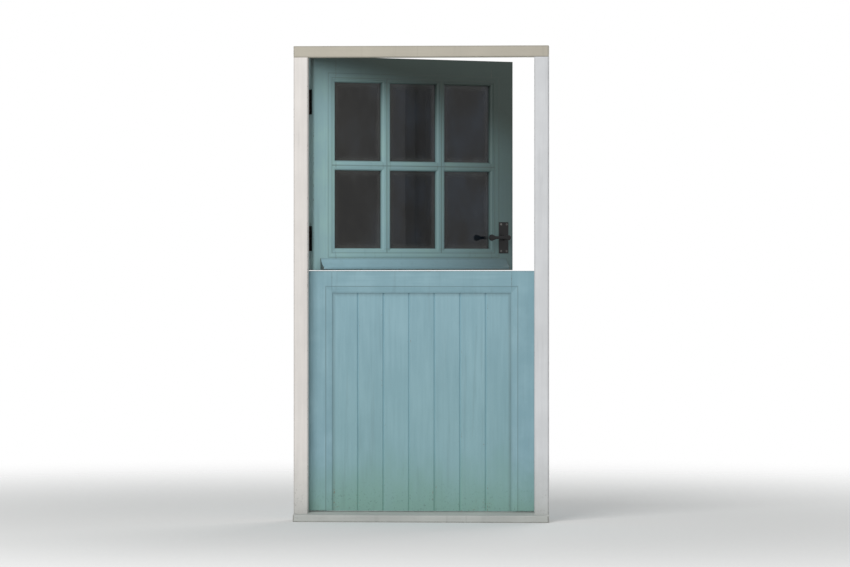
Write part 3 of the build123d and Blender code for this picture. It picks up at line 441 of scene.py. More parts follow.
class Paint(Finish):
    """Weathered brush paint, laid coat by coat, with what the boards share with the other timbers."""

    level, upright = 0, 2  # axis along which a timber runs
    seamed = ("jamb", "rail", "weatherboard")  # last words of the timbers with a seam at each end
    outer_side = (34 * MM, 24 * MM)  # depths at which the outer side's weathering and painted shade end and are full
    face = (24 * MM, 20 * MM)  # the same for marks on the outer face alone
    dirt_heights = (0.20, 0.05)  # heights at which splashed dirt ends and is full
    relief_depth = 0.45 * MM
    chip_depth = 0.40 * MM
    gloss = 0.42

    def __init__(self, node, along, seed, settings, color):
        super().__init__(f"{node}_paint", node in TURNED)
        self.color = linear(color)
        self.settings = settings
        self.seed = seed
        self.x, self.depth, self.height = self.axes()
        self.strokes, self.broad, self.grain = self.brushed(along)
        self.fine = self.noise(90.0, 4.0, 0.65)

    def brushed(self, along):
        """Two layers of brush strokes and one of wood grain along the timber, each between 0 and 1."""
        stroke = self.settings.stroke_width
        shift = (self.seed * 3.17, self.seed * 5.71, self.seed * 7.13)
        stretch = [1.0, 1.0, 1.0]
        stretch[along] = 0.045
        strokes = self.noise(1 / stroke, 2.0, 0.6, stretch=stretch, shift=shift)
        broad = self.noise(0.16 / stroke, 2.0, 0.5, stretch=stretch, shift=shift)
        stretch[along] = 0.12
        return strokes, broad, self.noise(55.0, 4.0, 0.55, 0.8, stretch, shift)

    def streaks(self, draw, scale, limits):
        """Runs of dirty rain, drawn out along Z."""
        return self.noise(scale, 3.0, 0.6, stretch=(1, 1, draw), shift=(self.seed, 0, 0)).rise(*limits)

    def specks(self, scale, limits):
        """Dirt thrown up by rain, which thins out upwards."""
        spots = self.noise(scale, 3.0, 0.7, stretch=(1, 1, 0.7)).rise(*limits)
        return spots * self.height.rise(*self.dirt_heights)

    def flaws(self, fine_scale, broad_scale):
        """Noise whose peaks are where the paint chips first."""
        return self.noise(fine_scale, 4.0, 0.65) + self.noise(broad_scale, 2.0) * 0.5

    def cover(self, amount, color):
        """Lay an amount of a colour over the paint."""
        self.color = self.tint(amount, self.color, linear(color))

    def grime_and_shade(self, amount):
        """Lay an amount of the grime colour over the paint, for dirt and for painted shade."""
        self.cover(amount, self.settings.grime_and_shade)

    def relief(self):
        """Normal of the brush marks and the grain."""
        return self.bump(self.strokes * 0.35 + self.broad * 0.3 + self.grain * 0.35, self.relief_depth)

    def dry(self, node, roughness, normal):
        """Give the node this paint."""
        values = {"Base_Color": self.color, "Roughness": roughness, "Normal": normal}
        dress(node, self.surface(Specular_IOR_Level=self.gloss, **values))


def edge_distances(parts, low, high):
    """Distance to the nearer of the two faces across each axis, and that to the nearest arris.

    On a face one of the three distances is nil, so the middle one of them is the distance to an arris.
    """
    near = [part.within(low[k], high[k]) for k, part in enumerate(parts)]
    lesser, greater = near[0].low(near[1]), near[0].high(near[1])
    return near, lesser.high(greater.low(near[2]))


def outside(x, z, left, right, foot, top):
    """How far a point lies outside an upright rectangle, below 0 within it."""
    return (left - x).high(x - right).high((foot - z).high(z - top))


def painted_shade_depth(x, height, patches):
    """Painted shade on the ajar leaf: how far its paint is darkened to stand for the shade of the head and of the
    room it swings into.

    It grows towards the lock side and slowly with height, and with the square of the height over the start of
    the head's shade. Its limit wanders with the patches.
    """
    level, slope, head_start, head_growth, wander = 1.4, 0.24, 1.45, 4.6, 0.08
    under_head = (height - head_start).high(0.0)
    reach = x + (height - level) * slope + under_head * under_head * head_growth + (patches - 0.5) * wander
    return reach.rise(-0.38, 0.68) * 0.96


def paint_timber(node, colors, along, seed, settings, foot=None, wear=1.0, lines=()):
    """Weathered brush paint on one timber.

    The colour goes from fresh to bleached in broad patches, carries painted shade on the upper leaf that deepens
    towards its top and its lock side, is darker in seams and corners, is darker along the lines of the worked
    edges with dirt and painted shade, turns to the foot colour over the splash height, and is chipped to bare wood
    in spots along the arrises, more so with more wear. The seed moves all its patterns.
    """
    fresh, bleached = colors
    paint = Paint(node, along, seed, settings, fresh)
    x, depth, height, fine = paint.x, paint.depth, paint.height, paint.fine
    near, arris = edge_distances((x, depth, height), *shut_box(node))
    patches = paint.noise(5.5 + 0.3 * seed, 3.0, 0.55)
    outer = depth.rise(*paint.outer_side)

    paint.cover((patches * 0.8 + paint.broad * 0.4).rise(0.45, 0.85), bleached)
    # Painted shade: the ajar leaf's outer side darkens towards its top and its lock side.
    if node in TURNED:
        paint.cover(painted_shade_depth(x, height, patches) * outer, settings.leaf_painted_shade)
    paint.color = paint.shaded(0.955 + paint.strokes * 0.05 + paint.grain * 0.03, paint.color)

    splash = (height + patches * 0.16 - fine * 0.05).rise(settings.splash_height + 0.10, 0.03) * outer
    if foot is not None:
        paint.cover(splash * 0.85, foot)
        paint.grime_and_shade(paint.specks(160.0, (0.60, 0.70)) * outer * 0.5)
    paint.grime_and_shade(paint.streaks(0.06, 42.0, (0.56, 0.74)) * 0.10)
    # Dirt and painted shade in the crease along each worked line round the panes and the boards.
    for line in lines:
        worked = abs(outside(x, height, *line)).rise(3.0 * MM, 0.6 * MM) * depth.rise(*paint.face)
        paint.grime_and_shade(worked * (0.20 + patches * 0.30))
    paint.grime_and_shade((arris + fine * 0.004 - 0.002).rise(7.0 * MM, 0.5 * MM) * 0.22)

    reach = arris.rise(3.0 * MM, 0.4 * MM)
    chipped = paint.flaws(130.0, 9.0) * 0.75 + reach * 0.20 * wear + splash * 0.04
    chipped = chipped.rise(0.80 - 0.10 * settings.wear, 0.83) * reach.high(splash * 0.5)
    sunken = chipped
    if node.endswith(paint.seamed):
        seam = near[along].rise(1.1 * MM, 0.4 * MM)
        paint.grime_and_shade(seam * 0.85)
        sunken = chipped.high(seam)
    wood = paint.tint(paint.grain, linear(settings.bare), linear(settings.grime_and_shade))
    paint.color = paint.tint(chipped, paint.color, wood)

    normal = paint.bump(1 - sunken, paint.chip_depth, paint.relief())
    paint.dry(node, 0.46 + fine * 0.16 + chipped * 0.30 + splash * 0.12, normal)


def boarded_field():
    """Left, right and top of the boards, between the lower leaf's stiles and under its top rail."""
    left, right = shut_box("lower_hinge_stile")[1][0], shut_box("lower_lock_stile")[0][0]
    return float(left), float(right), float(shut_box("lower_top_rail")[0][2])


def paint_board(number, settings):
    """Paint of one upright board, greener towards its foot, with painted shade under the rail and beside the
    stiles and a painted highlight in its joints.
    """
    node = f"board_{number + 1}"
    paint = Paint(node, Paint.upright, 2.0 + 1.7 * number, settings, settings.leaf)
    x, height, fine = paint.x, paint.height, paint.fine
    outer = paint.depth.rise(*paint.face)
    patches = paint.noise(6.0, 3.0, 0.55, stretch=(1, 1, 0.5), shift=(paint.seed, 0, 0))
    left, right, top = boarded_field()
    width = (right - left) / BOARD_COUNT
    edge = x.within(left + number * width, left + (number + 1) * width)

    paint.cover((patches * 0.8 + paint.broad * 0.4 + height * 0.12).rise(0.50, 0.92), settings.leaf_bleached)
    tone = 0.975 + 0.02 * math.sin(4.1 * number)
    paint.color = paint.shaded(tone + paint.strokes * 0.045 + paint.grain * 0.03, paint.color)
    paint.cover(height.rise(0.90, 0.15) * outer * 0.18, settings.leaf_foot)
    splash = (height + patches * 0.30 - fine * 0.06).rise(settings.splash_height + 0.20, 0.12) * outer
    paint.cover(splash * 0.80, settings.leaf_foot)
    paint.grime_and_shade(paint.specks(150.0, (0.58, 0.68)) * outer * 0.35)
    paint.grime_and_shade(paint.streaks(0.05, 45.0, (0.55, 0.72)) * 0.10)

    joint = (edge + fine * 0.003 - 0.0015).rise(4.8 * MM, 0.8 * MM)
    # Painted highlight: the paint in the V joints is made paler, to offset the shade that their form casts.
    paint.color = paint.shaded(1 + joint * 0.12, paint.color)
    # Painted shade: darker under the top rail and beside the stiles, where the boards lie back behind them.
    under_rail = (top - height + fine * 0.01).rise(24 * MM, 2 * MM)
    beside_stile = x.within(left, right).rise(16 * MM, 1 * MM)
    paint.grime_and_shade((under_rail * 0.35).high(beside_stile * 0.30))
    paint.grime_and_shade(edge.rise(1.0 * MM, 0.3 * MM) * 0.08)

    rim = edge.rise(4.5 * MM, 5.8 * MM) * edge.rise(10.5 * MM, 7.0 * MM)
    chipped = (paint.flaws(120.0, 8.0) * 0.75 + rim * 0.10 + splash * 0.05).rise(0.79, 0.82)
    paint.cover(chipped * rim.high(splash), settings.bare)
    paint.dry(node, 0.47 + fine * 0.16 + splash * 0.14 + joint * 0.1, paint.relief())


class STABLEDOOR_OT_frame_timbers(Operator):
    """Weathered white paint on the jambs, the head and the sill, with painted light on the jambs and painted shade
    on the head
    """

    bl_idname = "stabledoor.frame_timbers"
    bl_label = "Frame timbers"

    # Painted light: the two jambs share one white; the hinge jamb is painted warmer and brighter and the lock jamb
    # cooler, as copies lit in two ways.
    painted_light_casts = {"hinge_jamb": (1.035, 1.018, 1.003), "lock_jamb": (0.985, 0.998, 1.015)}

    def execute(self, context):
        paint = context.scene.stable_paint
        for seed, (node, cast) in enumerate(self.painted_light_casts.items(), 1):
            white = scaled(paint.frame, cast)
            colors = (white, scaled(white, 1.05))
            paint_timber(node, colors, Paint.upright, seed, paint, foot=paint.sill)
        # The head's colour is painted shade on the same white as the jambs.
        paint_timber("head", (paint.head, scaled(paint.head, 1.03)), Paint.level, 3, paint)
        paint_timber("sill", (paint.sill, scaled(paint.sill, 1.06)), Paint.level, 4, paint, wear=1.6)
        return {"FINISHED"}


class STABLEDOOR_OT_upper_leaf(Operator):
    """Blue-green paint on the stiles, rails, bars, beads and weatherboard of the upper leaf, with painted light
    and painted shade
    """

    bl_idname = "stabledoor.upper_leaf"
    bl_label = "Upper leaf"

    moulding = 8 * MM  # from the edge of a pane to the line round its moulding
    worked_band = 26 * MM  # from the outermost panes to the line round them all

    def execute(self, context):
        paint = context.scene.stable_paint
        pale = paint.leaf_bleached
        # Painted light: the upper leaf gets a paler copy of the lower leaf's paint, standing for the brighter
        # light on its turned face.
        colors = (scaled(pale, (1.04, 1.03, 1.00)), scaled(pale, (1.10, 1.09, 1.02)))
        boxes = [shut_box(node) for node in PANES]
        lines = [self.round_box(box, self.moulding) for box in boxes]
        lines.append(self.round_box(box_of(np.concatenate(boxes)), self.worked_band))
        upright = ("upper_hinge_stile", "upper_lock_stile", "upright_bar_1", "upright_bar_2")
        level = ("upper_top_rail", "upper_bottom_rail", "cross_bars", "glazing_beads")
        for seed, node in enumerate(upright, 5):
            paint_timber(node, colors, Paint.upright, seed, paint, lines=lines)
        for seed, node in enumerate(level, 9):
            worked = () if node == "glazing_beads" else lines
            paint_timber(node, colors, Paint.level, seed, paint, lines=worked)
        paint_timber("weatherboard", (pale, scaled(pale, 1.05)), Paint.level, 13, paint, wear=1.5)
        return {"FINISHED"}

    def round_box(self, box, margin):
        """Upright rectangle a margin outside a box, as its left, right, foot and top."""
        low, high = box[0] - margin, box[1] + margin
        return float(low[0]), float(high[0]), float(low[2]), float(high[2])


class STABLEDOOR_OT_lower_leaf(Operator):
    """Blue-green paint on the boards, stiles, rails and brace of the lower leaf, with painted shade and painted
    highlight on the boards
    """

    bl_idname = "stabledoor.lower_leaf"
    bl_label = "Lower leaf"

    worked_band = 26 * MM  # from the boards to the line round them

    def execute(self, context):
        paint = context.scene.stable_paint
        colors = (paint.leaf, paint.leaf_bleached)
        left, right, top = boarded_field()
        below = -1.0  # the line round the boards has no foot
        lines = [(left - self.worked_band, right + self.worked_band, below, top + self.worked_band)]
        for seed, node in enumerate(("lower_hinge_stile", "lower_lock_stile"), 14):
            paint_timber(node, colors, Paint.upright, seed, paint, foot=paint.leaf_foot, lines=lines)
        for seed, node in enumerate(("lower_top_rail", "lower_bottom_rail", "diagonal_brace"), 16):
            paint_timber(node, colors, Paint.level, seed, paint, lines=lines)
        for number in range(BOARD_COUNT):
            paint_board(number, paint)
        return {"FINISHED"}


def glass_finish(node, hardware):
    """Glass coloured as the dark room seen through it, painted shade that is warmer on the hinge side and varies
    in soft clouds, with a film of dust that thickens towards the beads.
    """
    finish = Finish(f"{node}_glass", node in TURNED)
    low, high = shut_box(node)
    x, _, z = finish.axes()
    edge = x.within(low[0], high[0]).low(z.within(low[2], high[2]))
    smear = finish.noise(14.0, 4.0, 0.6, stretch=(1, 1, 0.35))
    clouds = finish.noise(7.0, 4.0, 0.6, stretch=(1, 1, 0.6))
    wave = finish.noise(3.2, 1.0, 0.4, stretch=(1, 1, 0.5))
    film = (edge + smear * 0.03).rise(55 * MM, 15 * MM) * 0.16 + smear.rise(0.52, 0.80) * 0.05
    # Painted shade: the panes take the colour of the dark room behind them, warmer on the hinge side and cooler
    # towards the lock side.
    lock_side = (x * 0.9 + clouds * 0.8).rise(-0.05, 0.62)
    painted_room = finish.tint(lock_side, linear(hardware.painted_warm_interior), linear(hardware.glass))
    painted_room = finish.shaded(clouds.rise(0.32, 0.68), painted_room)
    return finish.surface(
        Base_Color=finish.tint(film, painted_room, linear(hardware.dust)),
        Roughness=0.03 + film * 0.5,
        Alpha=(hardware.glass_cover + film * 0.6).low(1.0),
        Normal=finish.bump(wave, 1.2 * MM),
        IOR=1.52,
        Specular_IOR_Level=0.22,
    )


class STABLEDOOR_OT_glazing(Operator):
    """Glass in the six panes, painted dark as the room seen through them, dusty towards the beads"""

    bl_idname = "stabledoor.glazing"
    bl_label = "Glazing"

    def execute(self, context):
        for node in PANES:
            dress(node, glass_finish(node, context.scene.stable_hardware))
        return {"FINISHED"}


def iron_finish(name, hardware, shut_again):
    """Black lacquered cast iron: shallow dimples, a warm rub where the lacquer is thin, specks of rust."""
    finish = Finish(name, shut_again)
    dimples = finish.dimples(1 / hardware.hammer_mark)
    fine = finish.noise(420.0, 3.0, 0.6)
    rub = finish.noise(38.0, 4.0, 0.6).rise(0.50, 0.72)
    rust = finish.noise(150.0, 4.0, 0.65).rise(0.66, 0.76)
    color = finish.tint(rub * 0.45, linear(hardware.iron), linear(hardware.iron_worn))
    return finish.surface(
        Base_Color=finish.tint(rust * 0.5, color, linear(hardware.rust)),
        Roughness=0.38 + rub * 0.16 + rust * 0.3,
        Normal=finish.bump(dimples * 0.7 + fine * 0.12, 0.35 * MM),
        Metallic=0.18 + rub * 0.22,
        Specular_IOR_Level=0.36,
    )


def steel_finish(name, hardware, shut_again):
    """Dull plated steel with fine scratches and cloudy patches."""
    finish = Finish(name, shut_again)
    scratches = finish.noise(900.0, 2.0, 0.6, stretch=(1, 1, 0.05))
    clouds = finish.noise(60.0, 3.0, 0.55)
    dull = scaled(hardware.steel, 0.72)
    return finish.surface(
        Base_Color=finish.tint(clouds.rise(0.40, 0.66), linear(hardware.steel), linear(dull)),
        Metallic=0.9,
        Roughness=0.36 + clouds * 0.22 + scratches * 0.06,
        Normal=finish.bump(scratches, 0.06 * MM),
    )


METAL_FINISHES = {"black_iron": iron_finish, "steel": steel_finish}


def metal(slot, shut_again):
    """Finish of a metal slot, made once for the shut pieces and once for those on the ajar leaf."""
    name = f"{slot}_upper" if shut_again else slot
    if name in bpy.data.materials:
        return bpy.data.materials[name]
    return METAL_FINISHES[slot](name, bpy.context.scene.stable_hardware, shut_again)


class STABLEDOOR_OT_ironwork(Operator):
    """Black iron and dull steel on the plates, hinges, latch and all else of metal"""

    bl_idname = "stabledoor.ironwork"
    bl_label = "Ironwork"

    def execute(self, context):
        for node, slot in SLOTS.items():
            if slot in METAL_FINISHES:
                dress(node, metal(slot, node in TURNED))
        return {"FINISHED"}


class STABLEDOOR_OT_screws(Operator):
    """Slotted wood screws with slightly raised heads in place of the plain ones"""

    bl_idname = "stabledoor.screws"
    bl_label = "Screws"

    head_radius = 4.75 * MM  # covers the mouth of the hole
    dome_height = 0.6 * MM
    rim_height = 0.15 * MM
    rim_depth = 0.5 * MM  # how far the rim turns down into the plate
    slot_half = 0.55 * MM
    slot_depth = 0.9 * MM
    cone_radius = 3.9 * MM
    cone_depth = 2.4 * MM
    core_radius = 1.25 * MM
    thread_radius = 1.9 * MM
    pitch = 1.8 * MM
    neck = 6.0 * MM
    tip = 7.0 * MM
    length = 19.5 * MM

    def execute(self, context):
        spins = np.random.default_rng(11)
        for node in ("frame_screws", "upper_leaf_screws", "lower_leaf_screws"):
            screws = []
            for points in islands(node):
                middle, axis = self.driven(points)
                screw = joined(self.head(), self.shank())
                screws.append(aimed(screw, middle, -axis, spins.uniform(0, math.pi)))
            piece(f"{node}_slotted", joined(*screws), node)
        return {"FINISHED"}

    def driven(self, points):
        """Middle of the head, and the unit vector along which the screw is driven.

        The screw is longest along its axis, and its points lie widest about it in the plane of the head.
        """
        centre = points.mean(axis=0)
        axis = np.linalg.svd(points - centre)[2][0]
        along = (points - centre) @ axis
        reach = np.linalg.norm(points - centre - along[:, None] * axis, axis=1)
        middle = points[reach > reach.max() - NEARLY].mean(axis=0)
        return middle, axis * np.sign((centre - middle) @ axis)

    def head(self):
        """Low dome: its height falls with the square of the radius, from the middle to the rim.

        The rows lie across the slot and double at its walls, where the dome drops to the floor of the slot.
        Each column is a share of the chord of its row, and the rim turns down into the plate and closes
        underneath. The outermost chord is a hair long, and merging closes it.
        """
        share = np.array([0.999999, 0.93, 0.80, 0.62, 0.42, 0.25]) * self.head_radius
        across = np.concatenate([-share, [-self.slot_half] * 2, [self.slot_half] * 2, share[::-1]])
        in_slot = np.zeros(len(across))
        in_slot[len(share) + 1 : len(share) + 3] = 1
        along = np.concatenate([[-1], np.linspace(-1, 1, 13), [1]])[None, :]
        across, in_slot = across[:, None], in_slot[:, None]
        x = across + 0 * along
        y = np.sqrt(self.head_radius**2 - across**2) * along
        fall = 1 - (x**2 + y**2) / self.head_radius**2
        dome = self.rim_height + (self.dome_height - self.rim_height) * fall
        z = dome * (1 - in_slot) + (self.dome_height - self.slot_depth) * in_slot
        z[:, [0, -1]] = -self.rim_depth
        return quads_over(np.stack([x, y, z], axis=-1))

    def shank(self):
        """Cone under the head, plain neck and tapering end, on which one thread winds.

        The thread's height over the core is a triangle wave of the turns climbed less the angle, and it fades
        in below the neck and out at the tip.
        """
        end = self.length / MM
        depth = np.concatenate([[0.3, 0.3, 1.2, 2.4], np.linspace(3.0, end, 44), [end]])[:, None] * MM
        turn = np.linspace(0, 1, 12, endpoint=False)[None, :]
        cone = np.clip(1 - depth / self.cone_depth, 0, 1)
        taper = np.clip((self.length - depth) / self.tip, 0.02, 1) ** 0.7
        wave = (depth / self.pitch - turn) % 1
        ridge = np.clip(1 - abs(wave - 0.5) * 3.2, 0, 1) * np.clip((depth - self.neck) / self.pitch, 0, 1)
        radius = (self.core_radius + (self.thread_radius - self.core_radius) * ridge) * taper
        radius = np.maximum(radius, self.thread_radius * (depth < self.neck))
        radius = radius + (self.cone_radius - radius) * cone
        radius[[0, -1]] = HAIR
        x, y = radius * np.cos(turn * 2 * math.pi), radius * np.sin(turn * 2 * math.pi)
        return quads_over(np.stack([x, y, -depth + 0 * turn], axis=-1))


class STABLEDOOR_OT_hinges(Operator):
    """Butt hinges with round knuckles, eased flaps and domed pins"""

    bl_idname = "stabledoor.hinges"
    bl_label = "Hinges"

    sides = 40
    knuckles = 5
    ease = 0.5 * MM
    gap = 0.15 * MM  # half the play between two knuckles
    flap_clear = 0.4 * MM  # between the flap and the barrel
    root = 1.0 * MM  # how far a knuckle's root reaches into the flap
    root_ease = 0.1 * MM
    bore_share = 0.52
    shaft_share = 0.65
    button_rim = 0.7 * MM
    button_dome = 1.8 * MM

    def execute(self, context):
        for node in sorted(node for node in NODES if node.endswith("_flap")):
            points = shut_points(node)
            low, high = box_of(points)
            radius = high[1] - PIN[1]
            inner = PIN[1] - radius
            flat = points[points[:, 1] < inner - self.ease]
            left, right = flat[:, 0].min(), flat[:, 0].max()
            step = (high[2] - low[2]) / self.knuckles
            surfaces = [slab((left, low[1], low[2]), (right, inner - self.flap_clear, high[2]), self.ease)]
            for k in range(0 if node.endswith("frame_flap") else 1, self.knuckles, 2):
                foot, crown = low[2] + k * step + self.gap, low[2] + (k + 1) * step - self.gap
                surfaces.append(self.knuckle(foot, crown, radius))
                surfaces.append(slab((left, inner - self.root, foot), (right, PIN[1], crown), self.root_ease))
            piece(f"{node}_rolled", joined(*surfaces), node)
        boxes = [box_of(points) for points in islands("hinge_pins")]
        pins = [self.pin(low[2], high[2], high[0] - PIN[0]) for low, high in boxes]
        piece("hinge_pins_domed", joined(*pins), "hinge_pins")
        return {"FINISHED"}

    def knuckle(self, foot, crown, radius):
        """Rolled barrel round the pin, its two rims eased."""
        ease, bore = self.ease, radius * self.bore_share
        profile = [(bore, foot), (radius - ease, foot), (radius, foot + ease), (radius, crown - ease)]
        profile += [(radius - ease, crown), (bore, crown), (bore, foot)]
        return self.on_pin(lathe(profile, self.sides))

    def pin(self, foot, crown, button):
        """Straight pin with a button on top, whose dome is a quarter of an ellipse."""
        shaft = button * self.shaft_share
        brim = crown - self.button_rim - self.button_dome
        profile = [(0, foot), (shaft - self.ease, foot), (shaft, foot + self.ease), (shaft, brim)]
        profile.append((button, brim))
        for angle in np.linspace(0, math.pi / 2, 7):
            height = brim + self.button_rim + self.button_dome * math.sin(angle)
            profile.append((button * math.cos(angle), height))
        return self.on_pin(lathe(profile, self.sides))

    def on_pin(self, surface):
        """Surface turned about Z, moved to the axis of the pins."""
        points, quads = surface
        return points + np.array([PIN[0], PIN[1], 0.0]), quads


class STABLEDOOR_OT_levers(Operator):
    """Forged levers: a turned neck with a collar, and an arm that swells to a rounded tip"""

    bl_idname = "stabledoor.levers"
    bl_label = "Levers"

    hub = 11 * MM  # half heights of the arm, and so the radii of its two ends
    hub_spread = 1.25  # width of the bell curve, as a share of the hub
    waist = 6 * MM
    tip = 13 * MM
    half_thickness = 4.5 * MM
    thinning = 0.22  # share lost towards the tip
    swell_start = 0.62  # share of the reach
    end_round = 2.5 * MM
    stand_off = 38.5 * MM

    def execute(self, context):
        spindle = sum(shut_box("lever_spindle")) / 2
        for side, outward in (("outside", -1.0), ("inside", 1.0)):
            node = f"{side}_lever"
            reach = spindle[0] - shut_box(node)[0][0]
            points, quads = joined(self.arm(reach), self.neck())
            plate_low, plate_high = shut_box(f"{side}_handle_plate")
            face = plate_low[1] if outward < 0 else plate_high[1]
            points = points * np.array([1, outward, 1]) + np.array([spindle[0], face, spindle[2]])
            piece(f"{node}_forged", (points, quads), node)
        return {"FINISHED"}

    def arm(self, reach):
        """Arm along -X whose sections are rounded oblongs, superellipses of the fourth power.

        Their half height falls from the hub to the waist as a bell curve and swells to the tip as a smooth
        step, and each end is a half circle. Their half thickness thins with the swell, and closes along a
        quarter circle at each end.
        """
        hub, waist, tip = self.hub, self.waist, self.tip
        x = (hub - reach) / 2 + (hub + reach) / 2 * np.cos(np.linspace(0, math.pi, 65))[:, None]
        start = reach * self.swell_start
        swell = np.clip((-x - start) / (reach - tip - start), 0, 1)
        bell = np.exp(-((x / (self.hub_spread * hub)) ** 2))
        height = waist + (hub - waist) * bell + (tip - waist) * swell**2 * (3 - 2 * swell)
        round_hub = np.sqrt(np.maximum(hub**2 - x**2, 0))
        height = np.where(x < 0, height, np.minimum(height, round_hub))
        past = np.maximum(-x - (reach - tip), 0)
        height = np.minimum(height, np.sqrt(np.maximum(tip**2 - past**2, 0)))
        end = np.clip(np.minimum(hub - x, x + reach) / self.end_round, 0, 1)
        thick = self.half_thickness * np.sqrt(1 - (1 - end) ** 2) * (1 - self.thinning * swell)
        around = np.linspace(0, 2 * math.pi, 32, endpoint=False)[None, :]
        cos, sin = np.cos(around), np.sin(around)
        z = np.maximum(height, HAIR) * np.sign(cos) * abs(cos) ** 0.5
        y = np.maximum(thick, HAIR) * np.sign(sin) * abs(sin) ** 0.5
        return quads_over(np.stack([x + 0 * around, y + self.stand_off, z], axis=-1))

    def neck(self):
        """Collar on the plate, a hollow above it and a flare under the arm."""
        collar = [(0, 0.2), (12.4, 0.2), (12.8, 0.6), (12.8, 1.8), (12.2, 2.5), (10.6, 3.0)]
        hollow = [(9.4, 4.2), (8.8, 7.0), (8.6, 13.0), (8.7, 22.0), (9.0, 28.0)]
        flare = [(9.6, 32.0), (10.2, 34.4), (0, 36.0)]
        return aimed(lathe(np.array(collar + hollow + flare) * MM, 48), (0, 0, 0), (0, 1, 0))


class STABLEDOOR_OT_spring(Operator):
    """Hairpin spring in the latch case, drawn at rest; the latch bolt presses it flat as it slides back"""

    bl_idname = "stabledoor.spring"
    bl_label = "Latch spring"

    strip = 0.7 * MM
    bend = 1.3 * MM  # radius at the foot
    foot = 6.0 * MM  # height at which the strip leaves the wall
    bolt_gap = 0.05 * MM
    touch_drop = 5.5 * MM  # from the top of the spring to where it meets the bolt
    lip = (0.6 * MM, 0.9 * MM)  # how far its end turns back, and up
    pressed_share = 0.9  # share of the room left beside the bolt that the pressed spring fills

    def execute(self, context):
        low, high = shut_box("latch_spring")
        spring = piece("latch_spring_folded", self.ribbon(low, high), "latch_spring")
        wall = turned(np.array([low[0], (low[1] + high[1]) / 2, high[2]]), AJAR)
        keep = self.pressed(high[0] - low[0])
        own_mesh(spring)
        return {"FINISHED"}

    def pressed(self, width):
        """Share of its width that the spring keeps once the bolt has slid all the way back."""
        travel = JOINTS["latch_slide"]["range_m"][1]
        return max((width - travel) / width * self.pressed_share, 0.02)

    def ribbon(self, low, high):
        """Strip carried down the wall, round a half circle at the foot and up aslant to the bolt.

        Its section is a rectangle square to the way it runs, and each end closes on its middle.
        """
        half = self.strip / 2
        arc = np.linspace(math.pi, 2 * math.pi, 13)
        wall, bolt = low[0] + half, high[0] - half - self.bolt_gap
        touch = high[2] - self.touch_drop
        x = np.concatenate([[wall, wall], wall + self.bend * (1 + np.cos(arc)), [bolt, bolt - self.lip[0]]])
        z = np.concatenate([
            [high[2], low[2] + self.foot],
            low[2] + half + self.bend * (1 + np.sin(arc)),
            [touch, touch + self.lip[1]],
        ])
        way = np.stack([np.gradient(x), np.gradient(z)], axis=-1)
        way /= np.linalg.norm(way, axis=-1, keepdims=True)
        thick = np.array([-half, half, half, -half])
        wide = np.array([low[1], low[1], high[1], high[1]])
        x, z = x[:, None] - way[:, 1:] * thick, z[:, None] + way[:, :1] * thick
        grid = np.stack([x, wide + 0 * x, z], axis=-1)
        middle = grid.mean(axis=1, keepdims=True)
        ends = middle + (grid - middle) * END_SHARE
        return quads_over(np.concatenate([ends[:1], grid, ends[-1:]]))


class STABLEDOOR_OT_slide_bolts(Operator):
    """Flat rods with turned knobs in both slide bolts"""

    bl_idname = "stabledoor.slide_bolts"
    bl_label = "Slide bolts"

    knob_height = 14 * MM  # over the rod
    knob_seat = 0.5 * MM  # how far the knob's foot is sunk into the rod
    ease = 0.6 * MM

    def execute(self, context):
        for node in ("lower_bolt_rod", "joining_bolt_rod"):
            points = shut_points(node)
            crown = points[:, 1].max()
            back = crown - self.knob_height
            low, high = box_of(points[points[:, 1] < back + NEARLY])
            high[1] = back
            foot = sum(box_of(points[points[:, 1] > crown - NEARLY])) / 2
            foot[1] = back - self.knob_seat
            knob = aimed(self.knob(), foot, (0, 1, 0))
            piece(f"{node}_turned", joined(slab(low, high, self.ease), knob), node)
        return {"FINISHED"}

    def knob(self):
        """Foot, waist and flattened ball."""
        foot = [(0, 0), (3.6, 0), (3.6, 0.8), (3.0, 1.6), (2.8, 3.4), (3.1, 5.0), (4.2, 6.6)]
        ball = [(5.4, 8.4), (6.0, 10.4), (5.9, 12.0), (5.2, 13.2), (3.8, 14.0), (2.0, 14.4), (0, 14.5)]
        return lathe(np.array(foot + ball) * MM, 40)


